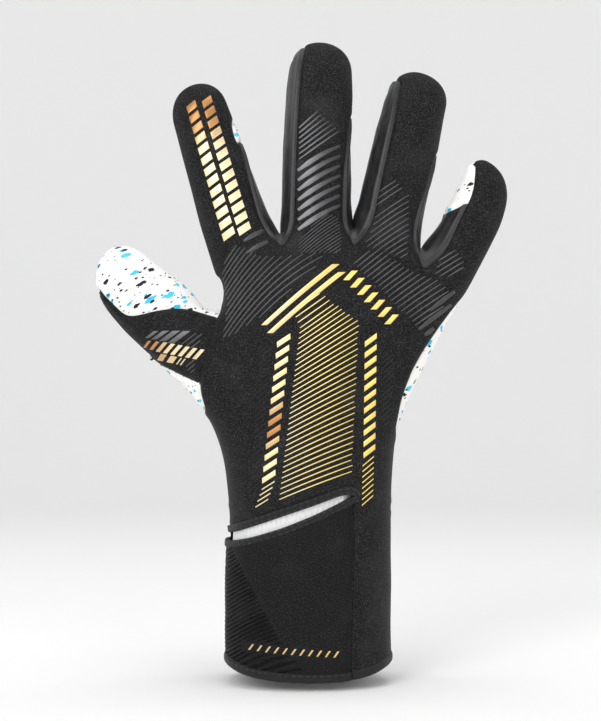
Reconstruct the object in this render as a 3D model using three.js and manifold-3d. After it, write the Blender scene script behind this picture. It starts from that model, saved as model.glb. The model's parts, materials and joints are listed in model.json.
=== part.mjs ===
// Goalkeeper glove for a right hand, size 9, standing as it is worn: fingers up, back of the hand to -Y.
// Millimetres. The origin is the middle of the wrist opening, +Z runs up the middle finger, +X points to
// the little-finger side and +Y to the palm. Each panel is a closed wall with its real thickness, and the
// panels leave the hand's space open from the cuff to the fingertips.
import * as THREE from "three";
import { mergeVertices } from "three/addons/utils/BufferGeometryUtils.js";
import Module from "manifold-3d";

const wasm = await Module();
wasm.setup();

// Driving dimensions.
const NEOPRENE = 3.2; // knitted neoprene of the back, cuff and strap
const LATEX = 4; // palm latex
const PALM_FOAM = 2.4; // foam and lining behind the palm latex
const LEATHER = 2; // finger gussets
const SEAM_GAP = 0.4; // between two neighbouring pieces
const OVAL_POWER = 0.83; // under 1 makes an oval squarer
const CUFF = { halfWidth: 36.5, halfDepth: 26, top: 79, palmTop: 68, hemHeight: 7, hemRise: 4 };
const SEAM_X = 21.6; // the strap is sewn to the cuff here, on the back
const WRIST = { z: 80, y: -8 };
const HINGE_DEPTH = 5; // finger creases lie this far to the palm side of the middle
const FINGER_DEPTH = { back: 12, palm: 14, tipShare: 0.88 };
const PROUD = 0.5; // bindings stand this far out of the cloth on both faces

// Base point (x, z), lean from +Z towards +X, length, length up to the crease, half widths at base and tip,
// curl of the tip to the palm, and the angles at which the back panel starts and ends.
const FINGERS = {
  index: { x: -27, z: 190, lean: -18, length: 76.8, crease: 33, base: 14.4, tip: 12.3, curl: 8, back: [155, 326] },
  middle: { x: 3.7, z: 192, lean: 1, length: 90, crease: 39, base: 15.2, tip: 14.2, curl: 9, back: [234, 326] },
  ring: { x: 34.5, z: 191, lean: 12.8, length: 79, crease: 35, base: 14.6, tip: 14.1, curl: 8, back: [234, 326] },
  little: { x: 61.5, z: 183, lean: 27, length: 48.6, crease: 21, base: 12.6, tip: 11.4, curl: 5, back: [232, 385] },
};
const THUMB = { x: -47, y: 6, z: 142, lean: -48, roll: 40, length: 63.5, crease: 30, base: 16.5, tip: 15.4, curl: 5 };
const PALM_SEAMS = [27, 153]; // angles at which a finger's palm panel starts and ends

// The hand from the wrist to the knuckles: height, thumb-side edge, little-finger-side edge, depth of the
// back and of the palm, and where the back panel starts and ends.
const HAND = [
  { z: 70, left: -35.4, right: 36.5, back: 24.5, palm: 25, from: 181, to: 370 },
  { z: 100, left: -37.4, right: 37.6, back: 22, palm: 24, from: 182, to: 367 },
  { z: 120, left: -46, right: 43, back: 21, palm: 25, from: 200, to: 335 },
  { z: 133, left: -49, right: 49, back: 20.5, palm: 25, from: 206, to: 333 },
  { z: 148, left: -46, right: 56.5, back: 20, palm: 23, from: 202, to: 335 },
  { z: 162, left: -38.6, right: 64, back: 19, palm: 20.5, from: 188, to: 345 },
  { z: 178, left: -40, right: 72.5, back: 16, palm: 17, from: 183, to: 357 },
  { z: 190, left: -41.5, right: 73.5, back: 12, palm: 14, from: 183, to: 357 },
];

const material = (color, roughness) => new THREE.MeshStandardMaterial({ color, roughness, metalness: 0 });
const MATERIALS = {
  neoprene: material(0x29292a, 0.85),
  leather: material(0x333334, 0.45),
  latex: material(0xf0ede8, 0.7),
  foam: material(0xd8d6d0, 0.95),
  binding: material(0x141416, 0.8),
  elastic: material(0xe4e4e4, 0.9),
  hook: material(0x1c1c1e, 0.95),
};

const rad = THREE.MathUtils.degToRad;
const lerp = THREE.MathUtils.lerp;
const glove = new THREE.Group();

function addMesh(name, geometry, materialName) {
  const mesh = new THREE.Mesh(geometry, MATERIALS[materialName]);
  mesh.name = name;
  glove.add(mesh);
}

// Across and depth of an oval's point: 0 is the little-finger side, 90 the palm, 180 the thumb side and
// 270 the back of the hand.
function oval(angle, halfWidth, backDepth, palmDepth) {
  const c = Math.cos(rad(angle));
  const s = Math.sin(rad(angle));
  const depth = s < 0 ? backDepth : palmDepth;
  return [halfWidth * Math.sign(c) * Math.abs(c) ** OVAL_POWER, depth * Math.sign(s) * Math.abs(s) ** OVAL_POWER];
}

// A value read from a list of stations by height.
function atHeight(stations, key, z) {
  const above = Math.max(1, stations.findIndex((s) => s.z >= z));
  const last = z > stations.at(-1).z ? stations.length - 1 : above;
  const [low, high] = [stations[last - 1], stations[last]];
  return lerp(low[key], high[key], THREE.MathUtils.clamp((z - low.z) / (high.z - low.z), 0, 1));
}

// A closed wall. place(across, along, inner) gives its points, across and along running from 0 to 1.
function wall(place, across, along) {
  const points = [];
  const faces = [];
  const row = across + 1;
  const sheet = row * (along + 1);
  for (const inner of [false, true])
    for (let j = 0; j <= along; j++)
      for (let i = 0; i <= across; i++) points.push(...place(i / across, j / along, inner).toArray());
  const quad = (a, b, c, d) => faces.push(a, b, c, a, c, d);
  for (let j = 0; j < along; j++)
    for (let i = 0; i < across; i++) {
      const [a, b, c, d] = [j * row + i, j * row + i + 1, (j + 1) * row + i + 1, (j + 1) * row + i];
      quad(a, b, c, d);
      quad(a + sheet, d + sheet, c + sheet, b + sheet);
    }
  for (let i = 0; i < across; i++) {
    const top = along * row + i;
    quad(i + 1, i, i + sheet, i + 1 + sheet);
    quad(top, top + 1, top + 1 + sheet, top + sheet);
  }
  for (let j = 0; j < along; j++) {
    const left = j * row;
    const right = left + across;
    quad(left, left + row, left + row + sheet, left + sheet);
    quad(right + row, right, right + sheet, right + row + sheet);
  }
  return new THREE.BufferGeometry()
    .setAttribute("position", new THREE.Float32BufferAttribute(points, 3))
    .setIndex(faces);
}

function toSolid(geometry) {
  const bare = geometry.clone();
  bare.deleteAttribute("normal");
  bare.deleteAttribute("uv");
  const merged = mergeVertices(bare, 1e-3);
  return new wasm.Manifold(
    new wasm.Mesh({
      numProp: 3,
      vertProperties: merged.attributes.position.array,
      triVerts: new Uint32Array(merged.index.array),
    }),
  );
}

function cut(geometry, cutters) {
  const solid = cutters.reduce((left, cutter) => left.subtract(toSolid(cutter)), toSolid(geometry));
  const mesh = solid.getMesh();
  return new THREE.BufferGeometry()
    .setAttribute("position", new THREE.BufferAttribute(mesh.vertProperties, 3))
    .setIndex(new THREE.BufferAttribute(mesh.triVerts, 1));
}

// Fingers and thumb share one shape: an oval tube with a domed end, leaning in the XZ plane, rolled about
// its own line and curling to the palm.
function digitFrame(digit) {
  const lean = rad(digit.lean);
  const roll = rad(digit.roll ?? 0);
  const along = new THREE.Vector3(Math.sin(lean), 0, Math.cos(lean));
  const flatAcross = new THREE.Vector3(Math.cos(lean), 0, -Math.sin(lean));
  const toPalm = new THREE.Vector3(0, 1, 0);
  const across = flatAcross.clone().multiplyScalar(Math.cos(roll)).addScaledVector(toPalm, -Math.sin(roll));
  const depth = toPalm.clone().multiplyScalar(Math.cos(roll)).addScaledVector(flatAcross, Math.sin(roll));
  return { origin: new THREE.Vector3(digit.x, digit.y ?? 0, digit.z), along, across, depth };
}

const curlAt = (digit, s) => digit.curl * (s / digit.length) ** 2;

function digitPoint(digit, s, angle, inset) {
  const { origin, along, across, depth } = digitFrame(digit);
  const reach = digit.length - inset;
  const domeStart = digit.length - digit.tip;
  const intoDome = Math.max(0, (s - domeStart) / (reach - domeStart));
  const fullness = Math.sqrt(Math.max(0.002, 1 - intoDome ** 2.3));
  const share = s / digit.length;
  const halfWidth = lerp(digit.base, digit.tip, share) - inset;
  const thin = lerp(1, FINGER_DEPTH.tipShare, share);
  const [u, v] = oval(
    angle,
    halfWidth * fullness,
    (FINGER_DEPTH.back * thin - inset) * fullness,
    (FINGER_DEPTH.palm * thin - inset) * fullness,
  );
  return origin
    .clone()
    .addScaledVector(along, s)
    .addScaledVector(across, u)
    .addScaledVector(depth, v + curlAt(digit, s));
}

// A panel of a digit from s0 to s1, between two angles that may change along it.
function digitPanel(digit, s0, s1, fromAngle, toAngle, thickness, across = 6, along = 3) {
  const gapAngle = THREE.MathUtils.radToDeg(SEAM_GAP / digit.base) / 2;
  return wall(
    (i, j, inner) => {
      const s = lerp(s0, s1, j);
      const angle = lerp(fromAngle(s) + gapAngle, toAngle(s) - gapAngle, i);
      return digitPoint(digit, s, angle, inner ? thickness : 0);
    },
    across,
    along,
  );
}

// The space that a digit's palm side sweeps as it bends: a half disc about the crease, s along the digit.
function creaseSweep(digit, s, radius, halfWidth) {
  const { origin, along, across, depth } = digitFrame(digit);
  const halfDisc = new THREE.Shape().absarc(0, 0, radius, 0, Math.PI).closePath();
  const geometry = new THREE.ExtrudeGeometry(halfDisc, { depth: 2 * halfWidth, bevelEnabled: false, curveSegments: 10 });
  geometry.translate(0, 0, -halfWidth);
  const centre = origin
    .clone()
    .addScaledVector(along, s)
    .addScaledVector(depth, curlAt(digit, s) + HINGE_DEPTH - 0.3);
  const turn = new THREE.Matrix4().makeBasis(along, depth, across.clone().negate()).setPosition(centre);
  return geometry.applyMatrix4(turn);
}

// Clear of a palm face that has turned by the largest bend.
const LARGEST_BEND = 75;
const SWEEP_RADIUS = (FINGER_DEPTH.palm - HINGE_DEPTH) / Math.cos(rad(LARGEST_BEND / 2)) + 0.7;

const GUSSET_SHARE = 0.84; // a gusset ends at this share of its finger's length
const PANEL_START = 0.5; // a finger's panels start this far above its base point
const TIP_CLOSING = 0.3; // and end this far short of its length, where the dome closes

function addFinger(name, finger) {
  const gussetEnd = finger.length * GUSSET_SHARE;
  const spread = (s) => THREE.MathUtils.smoothstep(s, finger.crease, gussetEnd);
  const thumbSideGusset = finger.back[0] > 180;
  const littleSideGusset = finger.back[1] < 360;
  const seams = {
    backFrom: (s) => (thumbSideGusset ? lerp(finger.back[0], 190, spread(s)) : finger.back[0]),
    backTo: (s) => (littleSideGusset ? lerp(finger.back[1], 350, spread(s)) : finger.back[1]),
    palmFrom: (s) => (littleSideGusset ? lerp(PALM_SEAMS[0], 8, spread(s)) : PALM_SEAMS[0]),
    palmTo: (s) => (thumbSideGusset ? lerp(PALM_SEAMS[1], 172, spread(s)) : PALM_SEAMS[1]),
  };
  // Past the gusset's end the back and palm panels meet at the side of the finger.
  const closed = (seam, side) => (s) => (s > gussetEnd ? side : seam(s));
  const backFrom = thumbSideGusset ? closed(seams.backFrom, 180) : seams.backFrom;
  const backTo = littleSideGusset ? closed(seams.backTo, 360) : seams.backTo;
  const palmFrom = littleSideGusset ? closed(seams.palmFrom, 0) : seams.palmFrom;
  const palmTo = thumbSideGusset ? closed(seams.palmTo, 180) : seams.palmTo;
  const sweep = creaseSweep(finger, finger.crease, SWEEP_RADIUS, finger.base + 1);
  const crease = [finger.crease - SEAM_GAP, finger.crease + SEAM_GAP];
  const tipEnd = finger.length - TIP_CLOSING;
  const panel = (...given) => digitPanel(finger, ...given);
  addMesh(`${name}_base_back`, cut(panel(PANEL_START, crease[0], backFrom, backTo, NEOPRENE), [sweep]), "neoprene");
  addMesh(`${name}_tip_back`, panel(crease[1], tipEnd, backFrom, backTo, NEOPRENE, 8, 7), "neoprene");
  const palmDepth = LATEX + PALM_FOAM;
  addMesh(`${name}_base_palm`, cut(panel(PANEL_START, crease[0], palmFrom, palmTo, palmDepth), [sweep]), "latex");
  addMesh(`${name}_tip_palm`, panel(crease[1], tipEnd, palmFrom, palmTo, palmDepth, 8, 7), "latex");
  const gussets = [];
  if (thumbSideGusset) gussets.push(["thumb_side", seams.palmTo, seams.backFrom]);
  if (littleSideGusset) gussets.push(["little_side", (s) => seams.backTo(s), (s) => seams.palmFrom(s) + 360]);
  for (const [side, from, to] of gussets) {
    const basePiece = panel(PANEL_START, crease[0], from, to, LEATHER, 4, 2);
    addMesh(`${name}_base_gusset_${side}`, cut(basePiece, [sweep]), "leather");
    addMesh(`${name}_tip_gusset_${side}`, panel(crease[1], gussetEnd - 1, from, to, LEATHER, 4, 3), "leather");
  }
}

// The thumb's back panel is a strip that turns to its outer side, and latex rolls round the rest.
const thumbBackFrom = (s) => lerp(243, 214, s / THUMB.length);
const thumbBackTo = (s) => lerp(345, 252, (s / THUMB.length) ** 1.5);

function addThumb() {
  const latexEnd = (s) => thumbBackFrom(s) + 360;
  const sweep = creaseSweep(THUMB, THUMB.crease, SWEEP_RADIUS, THUMB.base + 1);
  const crease = [THUMB.crease - SEAM_GAP, THUMB.crease + SEAM_GAP];
  const tipEnd = THUMB.length - TIP_CLOSING;
  const panel = (...given) => digitPanel(THUMB, ...given);
  addMesh("thumb_base_back", cut(panel(1, crease[0], thumbBackFrom, thumbBackTo, NEOPRENE), [sweep]), "neoprene");
  addMesh("thumb_tip_back", panel(crease[1], tipEnd, thumbBackFrom, thumbBackTo, NEOPRENE, 6, 6), "neoprene");
  const baseLatex = panel(1, crease[0], thumbBackTo, latexEnd, LATEX, 14, 3);
  addMesh("thumb_base_latex", cut(baseLatex, [sweep]), "latex");
  addMesh("thumb_tip_latex", panel(crease[1], tipEnd, thumbBackTo, latexEnd, LATEX, 14, 6), "latex");
}

// Everything that the thumb needs in the hand's side: its own tube, a little larger, and its bend.
const THUMB_SPACE = { clearance: 2.4, length: 42, along: 8 };

function thumbSpace() {
  const radius = THUMB.base + THUMB_SPACE.clearance;
  const { origin, along } = digitFrame(THUMB);
  const tube = new THREE.CylinderGeometry(radius, radius, THUMB_SPACE.length, 20).rotateX(Math.PI / 2);
  const look = new THREE.Matrix4().makeBasis(
    new THREE.Vector3(0, 1, 0).cross(along),
    new THREE.Vector3(0, 1, 0),
    along,
  );
  tube.applyMatrix4(look.setPosition(origin.clone().addScaledVector(along, THUMB_SPACE.along)));
  return tube;
}

// The hand's top edge: the line under each finger, as a height over x.
function handTop(x) {
  const edges = Object.values(FINGERS).map((f) => {
    const slope = -Math.tan(rad(f.lean));
    return { near: Math.abs(x - f.x), z: f.z + slope * (x - f.x) };
  });
  edges.sort((a, b) => a.near - b.near);
  return edges[0].z - 1.2;
}

function handPoint(angle, share, bottom, inset) {
  const top = HAND.at(-1);
  const [uTop] = oval(angle, (top.right - top.left) / 2, top.back, top.palm);
  const zTop = handTop((top.left + top.right) / 2 + uTop);
  const z = lerp(bottom, zTop, share);
  const [left, right, back, palm] = ["left", "right", "back", "palm"].map((key) => atHeight(HAND, key, z));
  const [u, y] = oval(angle, (right - left) / 2 - inset, back - inset, palm - inset);
  return new THREE.Vector3((left + right) / 2 + u, y, z);
}

const HAND_STEPS = { across: 18, along: 9 };

// A layer of the hand between two seams, from insetOut to insetIn below the outer face.
function handPanel(seams, bottom, insetOut, insetIn, topShare = 1) {
  return wall(
    (i, j, inner) => {
      let point = new THREE.Vector3(0, 0, lerp(80, HAND.at(-1).z, j));
      for (let pass = 0; pass < 4; pass++) {
        const [from, to] = seams(point.z);
        const angle = lerp(from, to, i);
        point = handPoint(angle, j * topShare, bottom(angle), inner ? insetIn : insetOut);
      }
      return point;
    },
    HAND_STEPS.across,
    HAND_STEPS.along,
  );
}

// Heights of the cuff's edges. The slit between hand and strap opens at the thumb side.
const cuffX = (angle) => oval(angle, CUFF.halfWidth, CUFF.halfDepth, CUFF.halfDepth)[0];
const slitShare = (angle) => THREE.MathUtils.clamp((cuffX(angle) + CUFF.halfWidth) / (SEAM_X + CUFF.halfWidth), 0, 1);
const STRAP_HEIGHT = { thumbSide: 62, rise: 16.6 };
const strapTop = (angle) => STRAP_HEIGHT.thumbSide + STRAP_HEIGHT.rise * Math.sin((slitShare(angle) * Math.PI) / 2.2);
const SLIT = { thumbSide: 6.5, narrowing: 3, bow: 3.4 }; // width at the thumb side, lost width and bow
const slitWidth = (share) => SLIT.thumbSide - SLIT.narrowing * share + SLIT.bow * Math.sin(share * Math.PI);
const slitTop = (angle) => strapTop(angle) + slitWidth(slitShare(angle));
const hemBottom = (angle) => CUFF.hemRise * Math.cos(rad(angle)) ** 2;
const BINDING = 5;
const seamCosine = (SEAM_X / CUFF.halfWidth) ** (1 / OVAL_POWER);
const SEAM_ANGLE = 360 - THREE.MathUtils.radToDeg(Math.acos(seamCosine));

const littleSideBottom = slitTop(SEAM_ANGLE) + BINDING + SEAM_GAP;
const thumbSideBottom = slitTop(180) + BINDING + SEAM_GAP;
const PALM_BOTTOM = 90;

function handBottom(angle) {
  if (angle > SEAM_ANGLE && angle <= 360) return littleSideBottom;
  if (angle > 180 && angle <= SEAM_ANGLE) return slitTop(angle) + BINDING + SEAM_GAP;
  const side = Math.cos(rad(angle)) > 0 ? littleSideBottom : thumbSideBottom;
  return lerp(side, PALM_BOTTOM, Math.sin(rad(angle)) ** 2);
}

const THUMB_SIDE_SEAM = { lowest: 176, highest: 178.5 }; // angles of the palm latex's seam on the thumb side
const FOAM_SEAMS = { from: 20, to: 160 }; // angles between which the palm foam lies
const FOAM_TOP_SHARE = 0.86; // the foam ends below the finger creases
const EDGE_BINDING_FROM = 185; // angle at which the back panel's lower binding starts

function addHand() {
  const backSeams = (z) => [atHeight(HAND, "from", z), atHeight(HAND, "to", z)];
  const palmSeams = (z) => {
    const [from, to] = backSeams(z);
    const thumbSide = THREE.MathUtils.clamp(from, THUMB_SIDE_SEAM.lowest, THUMB_SIDE_SEAM.highest);
    return [to - 360 + 1.2, thumbSide];
  };
  const sweeps = Object.values(FINGERS).map((f) => creaseSweep(f, 0, SWEEP_RADIUS + 0.6, f.base + 0.8));
  const back = handPanel(backSeams, handBottom, 0, NEOPRENE);
  addMesh("back_panel", cut(back, [thumbSpace()]), "neoprene");
  const latex = handPanel(palmSeams, handBottom, 0, LATEX);
  addMesh("palm_latex", cut(latex, [thumbSpace(), ...sweeps]), "latex");
  const foamSeams = (z) => [Math.max(FOAM_SEAMS.from, palmSeams(z)[0] + 10), FOAM_SEAMS.to];
  const foamBottom = (angle) => handBottom(angle) + 1;
  const foam = handPanel(foamSeams, foamBottom, LATEX + 1, LATEX + PALM_FOAM + 0.6, FOAM_TOP_SHARE);
  addMesh("palm_foam", cut(foam, [thumbSpace()]), "foam");
  const binding = wall(
    (i, j, inner) => {
      const angle = lerp(EDGE_BINDING_FROM, SEAM_ANGLE, i);
      const z = slitTop(angle) + BINDING * j;
      return handPoint(angle, 0, z, inner ? NEOPRENE + PROUD : -PROUD);
    },
    12,
    1,
  );
  addMesh("hand_edge_binding", binding, "binding");
}

// Soft leather saddles in the crotch between two fingers, under their bases.
function addWeb(name, x, z) {
  const [halfThickness, height] = [0.6, 9];
  const y = { back: -FINGER_DEPTH.back + NEOPRENE + 1.6, palm: FINGER_DEPTH.palm - LATEX - PALM_FOAM - 1.4 };
  const web = wall(
    (i, j, inner) => {
      const sag = 3 * Math.sin(Math.PI * i);
      const side = inner ? -halfThickness : halfThickness;
      return new THREE.Vector3(x + side, lerp(y.back, y.palm, i), z - sag - height * (1 - j));
    },
    6,
    2,
  );
  addMesh(name, web, "leather");
}

// A band round the wrist between two angles, from offsetIn to offsetOut outside the cuff's oval.
function cuffBand([from, to], bottom, top, offsetOut, offsetIn, across = 10, along = 2) {
  return wall(
    (i, j, inner) => {
      const angle = lerp(from, to, i);
      const offset = (inner ? offsetIn : offsetOut)(angle);
      const [x, y] = oval(angle, CUFF.halfWidth + offset, CUFF.halfDepth + offset, CUFF.halfDepth + offset);
      return new THREE.Vector3(x, y, lerp(bottom(angle), top(angle), j));
    },
    across,
    along,
  );
}

const LOOP_PATCH = { bottom: 14, top: 56 };
const level = (value) => () => value;
const raised = (height, by) => (angle) => height(angle) + by;

function addCuff() {
  const span = [SEAM_ANGLE + 0.6, 460];
  const topEdge = (angle) => lerp(CUFF.top, CUFF.palmTop, THREE.MathUtils.smoothstep(angle, 335, 410));
  const hemTop = raised(hemBottom, CUFF.hemHeight);
  addMesh(
    "cuff_panel",
    cuffBand(span, raised(hemTop, SEAM_GAP), topEdge, level(0), level(-NEOPRENE), 14, 2),
    "neoprene",
  );
  addMesh("cuff_hem_binding", cuffBand(span, hemBottom, hemTop, level(PROUD), level(-NEOPRENE - PROUD), 14, 1), "binding");
  const flexTop = slitTop(SEAM_ANGLE) + BINDING;
  const flexStrip = cuffBand([SEAM_ANGLE + 7, 362], level(CUFF.top + 0.4), level(flexTop), level(-0.9), level(-2.9), 5, 1);
  addMesh("wrist_flex_strip", flexStrip, "neoprene");
  const loopPatch = cuffBand([402, 452], level(LOOP_PATCH.bottom), level(LOOP_PATCH.top), level(1.2), level(0.3), 6, 1);
  addMesh("loop_patch", loopPatch, "hook");
  const sleeve = { wall: 1.6, bottom: { radius: 31.6, z: 6 }, top: { radius: 28.6, z: 92 }, flatness: 0.6 };
  const corner = (end, inset) => new THREE.Vector2(end.radius - inset, end.z);
  const profile = [
    corner(sleeve.bottom, sleeve.wall),
    corner(sleeve.bottom, 0),
    corner(sleeve.top, 0),
    corner(sleeve.top, sleeve.wall),
    corner(sleeve.bottom, sleeve.wall),
  ];
  const tube = new THREE.LatheGeometry(profile, 28).rotateX(Math.PI / 2).scale(1, sleeve.flatness, 1);
  addMesh("wrist_sleeve", tube, "elastic");
}

// The strap: a front part sewn at the seam on the back, and a wrap that goes round the thumb side and
// closes with hook and loop on the palm side.
const WRAP = { from: 193, to: 42, lift: 6 };
const HOOK_PATCH = { bottom: 16, top: 52 };

function addStrap() {
  const front = [WRAP.from + 1.2, SEAM_ANGLE - 0.6];
  const hemTop = raised(hemBottom, CUFF.hemHeight);
  const upper = raised(strapTop, -BINDING);
  addMesh(
    "strap_front",
    cuffBand(front, raised(hemTop, SEAM_GAP), raised(upper, -SEAM_GAP), level(0), level(-NEOPRENE), 12, 2),
    "neoprene",
  );
  const bindingFaces = [level(PROUD), level(-NEOPRENE - PROUD)];
  addMesh("strap_front_top_binding", cuffBand(front, upper, strapTop, ...bindingFaces, 12, 1), "binding");
  addMesh("strap_front_hem_binding", cuffBand(front, hemBottom, hemTop, ...bindingFaces, 12, 1), "binding");

  const wrap = [WRAP.to, WRAP.from];
  const lift = (angle) => WRAP.lift * THREE.MathUtils.smoothstep(WRAP.from - angle, 8, 80);
  const shifted = (by) => (angle) => lift(angle) + by;
  const wrapTop = level(strapTop(WRAP.from));
  const wrapUpper = raised(wrapTop, -BINDING);
  addMesh(
    "strap_wrap",
    cuffBand(wrap, raised(hemTop, SEAM_GAP), raised(wrapUpper, -SEAM_GAP), shifted(0), shifted(-NEOPRENE), 14, 2),
    "neoprene",
  );
  const wrapFaces = [shifted(PROUD), shifted(-NEOPRENE - PROUD)];
  addMesh("strap_wrap_top_binding", cuffBand(wrap, wrapUpper, wrapTop, ...wrapFaces, 14, 1), "binding");
  addMesh("strap_wrap_hem_binding", cuffBand(wrap, hemBottom, hemTop, ...wrapFaces, 14, 1), "binding");
  const hookFaces = [level(WRAP.lift - NEOPRENE - 0.3), level(WRAP.lift - NEOPRENE - 1.3)];
  const hookPatch = cuffBand([WRAP.to + 2, 84], level(HOOK_PATCH.bottom), level(HOOK_PATCH.top), ...hookFaces, 6, 1);
  addMesh("hook_patch", hookPatch, "hook");
}

addCuff();
addStrap();
addHand();
addWeb("web_index_middle", -12.35, 192);
addWeb("web_middle_ring", 19.6, 190.5);
addWeb("web_ring_little", 49.6, 187);
for (const [name, finger] of Object.entries(FINGERS)) addFinger(name, finger);
addThumb();

export default glove;
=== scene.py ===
"""The looks of a right-hand goalkeeper glove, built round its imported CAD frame.

Lengths in this script are millimetres in the row frame until a mesh is made. The glove stands upright, the
back of the hand to -Y and the palm to +Y. Its outline is drawn in the XZ plane, an inflated body is solved
inside that outline, and every panel, gusset and print lies on the body.
"""
import json
import math

import bpy
import numpy as np
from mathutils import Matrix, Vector, noise
from mathutils.bvhtree import BVHTree
from mathutils.geometry import delaunay_2d_cdt


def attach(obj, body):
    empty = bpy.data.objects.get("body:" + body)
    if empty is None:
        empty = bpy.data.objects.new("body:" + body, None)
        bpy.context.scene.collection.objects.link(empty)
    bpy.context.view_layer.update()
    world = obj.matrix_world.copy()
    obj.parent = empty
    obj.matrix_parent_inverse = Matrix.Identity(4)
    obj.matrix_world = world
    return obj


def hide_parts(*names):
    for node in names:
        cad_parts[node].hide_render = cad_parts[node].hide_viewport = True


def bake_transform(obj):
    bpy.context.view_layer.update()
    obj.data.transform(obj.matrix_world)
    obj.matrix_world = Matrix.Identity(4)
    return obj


MM = 0.001
BACK, PALM = -1, 1

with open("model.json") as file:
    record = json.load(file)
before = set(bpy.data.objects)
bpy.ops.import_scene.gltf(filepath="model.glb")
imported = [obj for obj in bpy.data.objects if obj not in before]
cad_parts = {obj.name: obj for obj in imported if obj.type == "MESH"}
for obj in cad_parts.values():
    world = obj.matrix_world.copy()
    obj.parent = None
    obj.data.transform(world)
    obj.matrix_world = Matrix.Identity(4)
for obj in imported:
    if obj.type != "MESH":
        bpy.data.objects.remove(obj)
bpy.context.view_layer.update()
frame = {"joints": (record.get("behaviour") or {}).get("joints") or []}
JOINTS = {j["name"]: j for j in frame["joints"]}


# ---------------------------------------------------------------- curves in the XZ plane


LINE_STEP = 1.2


def smooth_line(points, sigma=1.6):
    """A row of points evened out along its length, with both ends kept."""
    points = np.asarray(points, float)
    reach = int(3 * sigma) + 1
    head = 2 * points[0] - points[1 : reach + 1][::-1]
    tail = 2 * points[-1] - points[-reach - 1 : -1][::-1]
    padded = np.vstack([head, points, tail])
    weights = np.exp(-0.5 * (np.arange(-reach, reach + 1) / sigma) ** 2)
    weights /= weights.sum()
    smoothed = [np.convolve(padded[:, k], weights, mode="valid") for k in range(points.shape[1])]
    return np.stack(smoothed, axis=1)


def distances(points):
    """How far along a line each of its points lies."""
    return np.concatenate([[0], np.cumsum(np.linalg.norm(np.diff(points, axis=0), axis=1))])


def even(points, spacing=LINE_STEP):
    """The same line with its points at even distances."""
    points = np.asarray(points, float)
    along = distances(points)
    count = max(2, int(round(along[-1] / spacing)) + 1)
    wanted = np.linspace(0, along[-1], count)
    return np.stack([np.interp(wanted, along, points[:, k]) for k in range(points.shape[1])], axis=1)


def curve(points, spacing=LINE_STEP, sigma=3):
    """A soft curve through a few points."""
    return smooth_line(even(points, spacing), sigma)


def nearest(line, point):
    """The number of the line's point that is nearest to a point."""
    return int(np.argmin(np.linalg.norm(line - np.asarray(point, float), axis=1)))


def stretch(line, start, end):
    """The part of a line between the points nearest to start and to end, in the line's own order."""
    first, last = nearest(line, start), nearest(line, end)
    return line[min(first, last) : max(first, last) + 1]


def closed(*parts):
    """One loop from several lines that follow each other; doubled points are dropped."""
    points = [np.asarray(p, float) for part in parts for p in part]
    loop = [points[0]]
    for p in points[1:]:
        if np.linalg.norm(p - loop[-1]) > 0.02:
            loop.append(p)
    if np.linalg.norm(loop[0] - loop[-1]) < 0.02:
        loop.pop()
    return np.array(loop)


def distance_to_lines(points, lines):
    """The distance of each point to the nearest of several lines."""
    best = np.full(len(points), 1e9)
    for line in lines:
        a, b = line[:-1], line[1:]
        d = b - a
        squared = np.maximum((d * d).sum(1), 1e-12)
        for start in range(0, len(points), 4000):
            p = points[start : start + 4000, None, :]
            t = np.clip(((p - a) * d).sum(2) / squared, 0, 1)
            near = a + t[..., None] * d
            gap = np.sqrt(((p - near) ** 2).sum(2)).min(1)
            best[start : start + 4000] = np.minimum(best[start : start + 4000], gap)
    return best


def smoothstep(x, low, high):
    """0 below low, 1 above high and a soft step between them."""
    t = np.clip((np.asarray(x, float) - low) / (high - low), 0, 1)
    return t * t * (3 - 2 * t)


# ---------------------------------------------------------------- fingers and thumb


TIP_POWER = 2.1
TIP_POINTS = 22


class Digit:
    """A finger or the thumb: the line it points along, and its two edges measured from that line."""

    def __init__(self, knuckle, crease, tip, left, right, centre, round_left, round_right, curl):
        pos, axis = JOINTS[knuckle]["pos_m"], JOINTS[knuckle]["axis"]
        end = JOINTS[crease]["pos_m"]
        self.base = np.array([pos[0], pos[2]]) / MM
        lean = math.atan2(axis[2], -axis[0])
        self.along = np.array([math.sin(lean), math.cos(lean)])
        self.across = np.array([math.cos(lean), -math.sin(lean)])
        self.crease = float((np.array([end[0], end[2]]) / MM - self.base) @ self.along)
        self.tip, self.centre, self.curl = tip, centre, curl
        self.edges = {"left": np.array(left, float), "right": np.array(right, float)}
        self.rounds = {"left": round_left, "right": round_right}

    def measure(self, points):
        """Distance along the digit and across it."""
        offset = np.asarray(points, float) - self.base
        return offset @ self.along, offset @ self.across

    def point(self, s, u):
        """The place at s along the digit and u across it."""
        return self.base + np.multiply.outer(s, self.along) + np.multiply.outer(u, self.across)

    def edge(self, side, s):
        """How far the edge lies from the digit's line, negative on the left."""
        table = self.edges[side]
        width = np.interp(s, table[:, 0], table[:, 1])
        start = self.tip - self.rounds[side]
        t = np.clip((np.asarray(s, float) - start) / self.rounds[side], 0, 1)
        return self.centre + (width - self.centre) * (1 - t**TIP_POWER) ** (1 / TIP_POWER)

    def edge_points(self, side, s_from, s_to):
        """The edge from s_from to s_to, closer together where the tip turns."""
        start = self.tip - self.rounds[side]
        low, high = min(s_from, s_to), max(s_from, s_to)
        turn = start + self.rounds[side] * np.sin(np.linspace(0, math.pi / 2, TIP_POINTS))
        s = np.concatenate([np.arange(low, start, LINE_STEP), turn])
        s = np.unique(np.concatenate([[low], s[(s > low) & (s < high)], [high]]))
        points = self.point(s, self.edge(side, s))
        return points if s_from < s_to else points[::-1]


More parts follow.
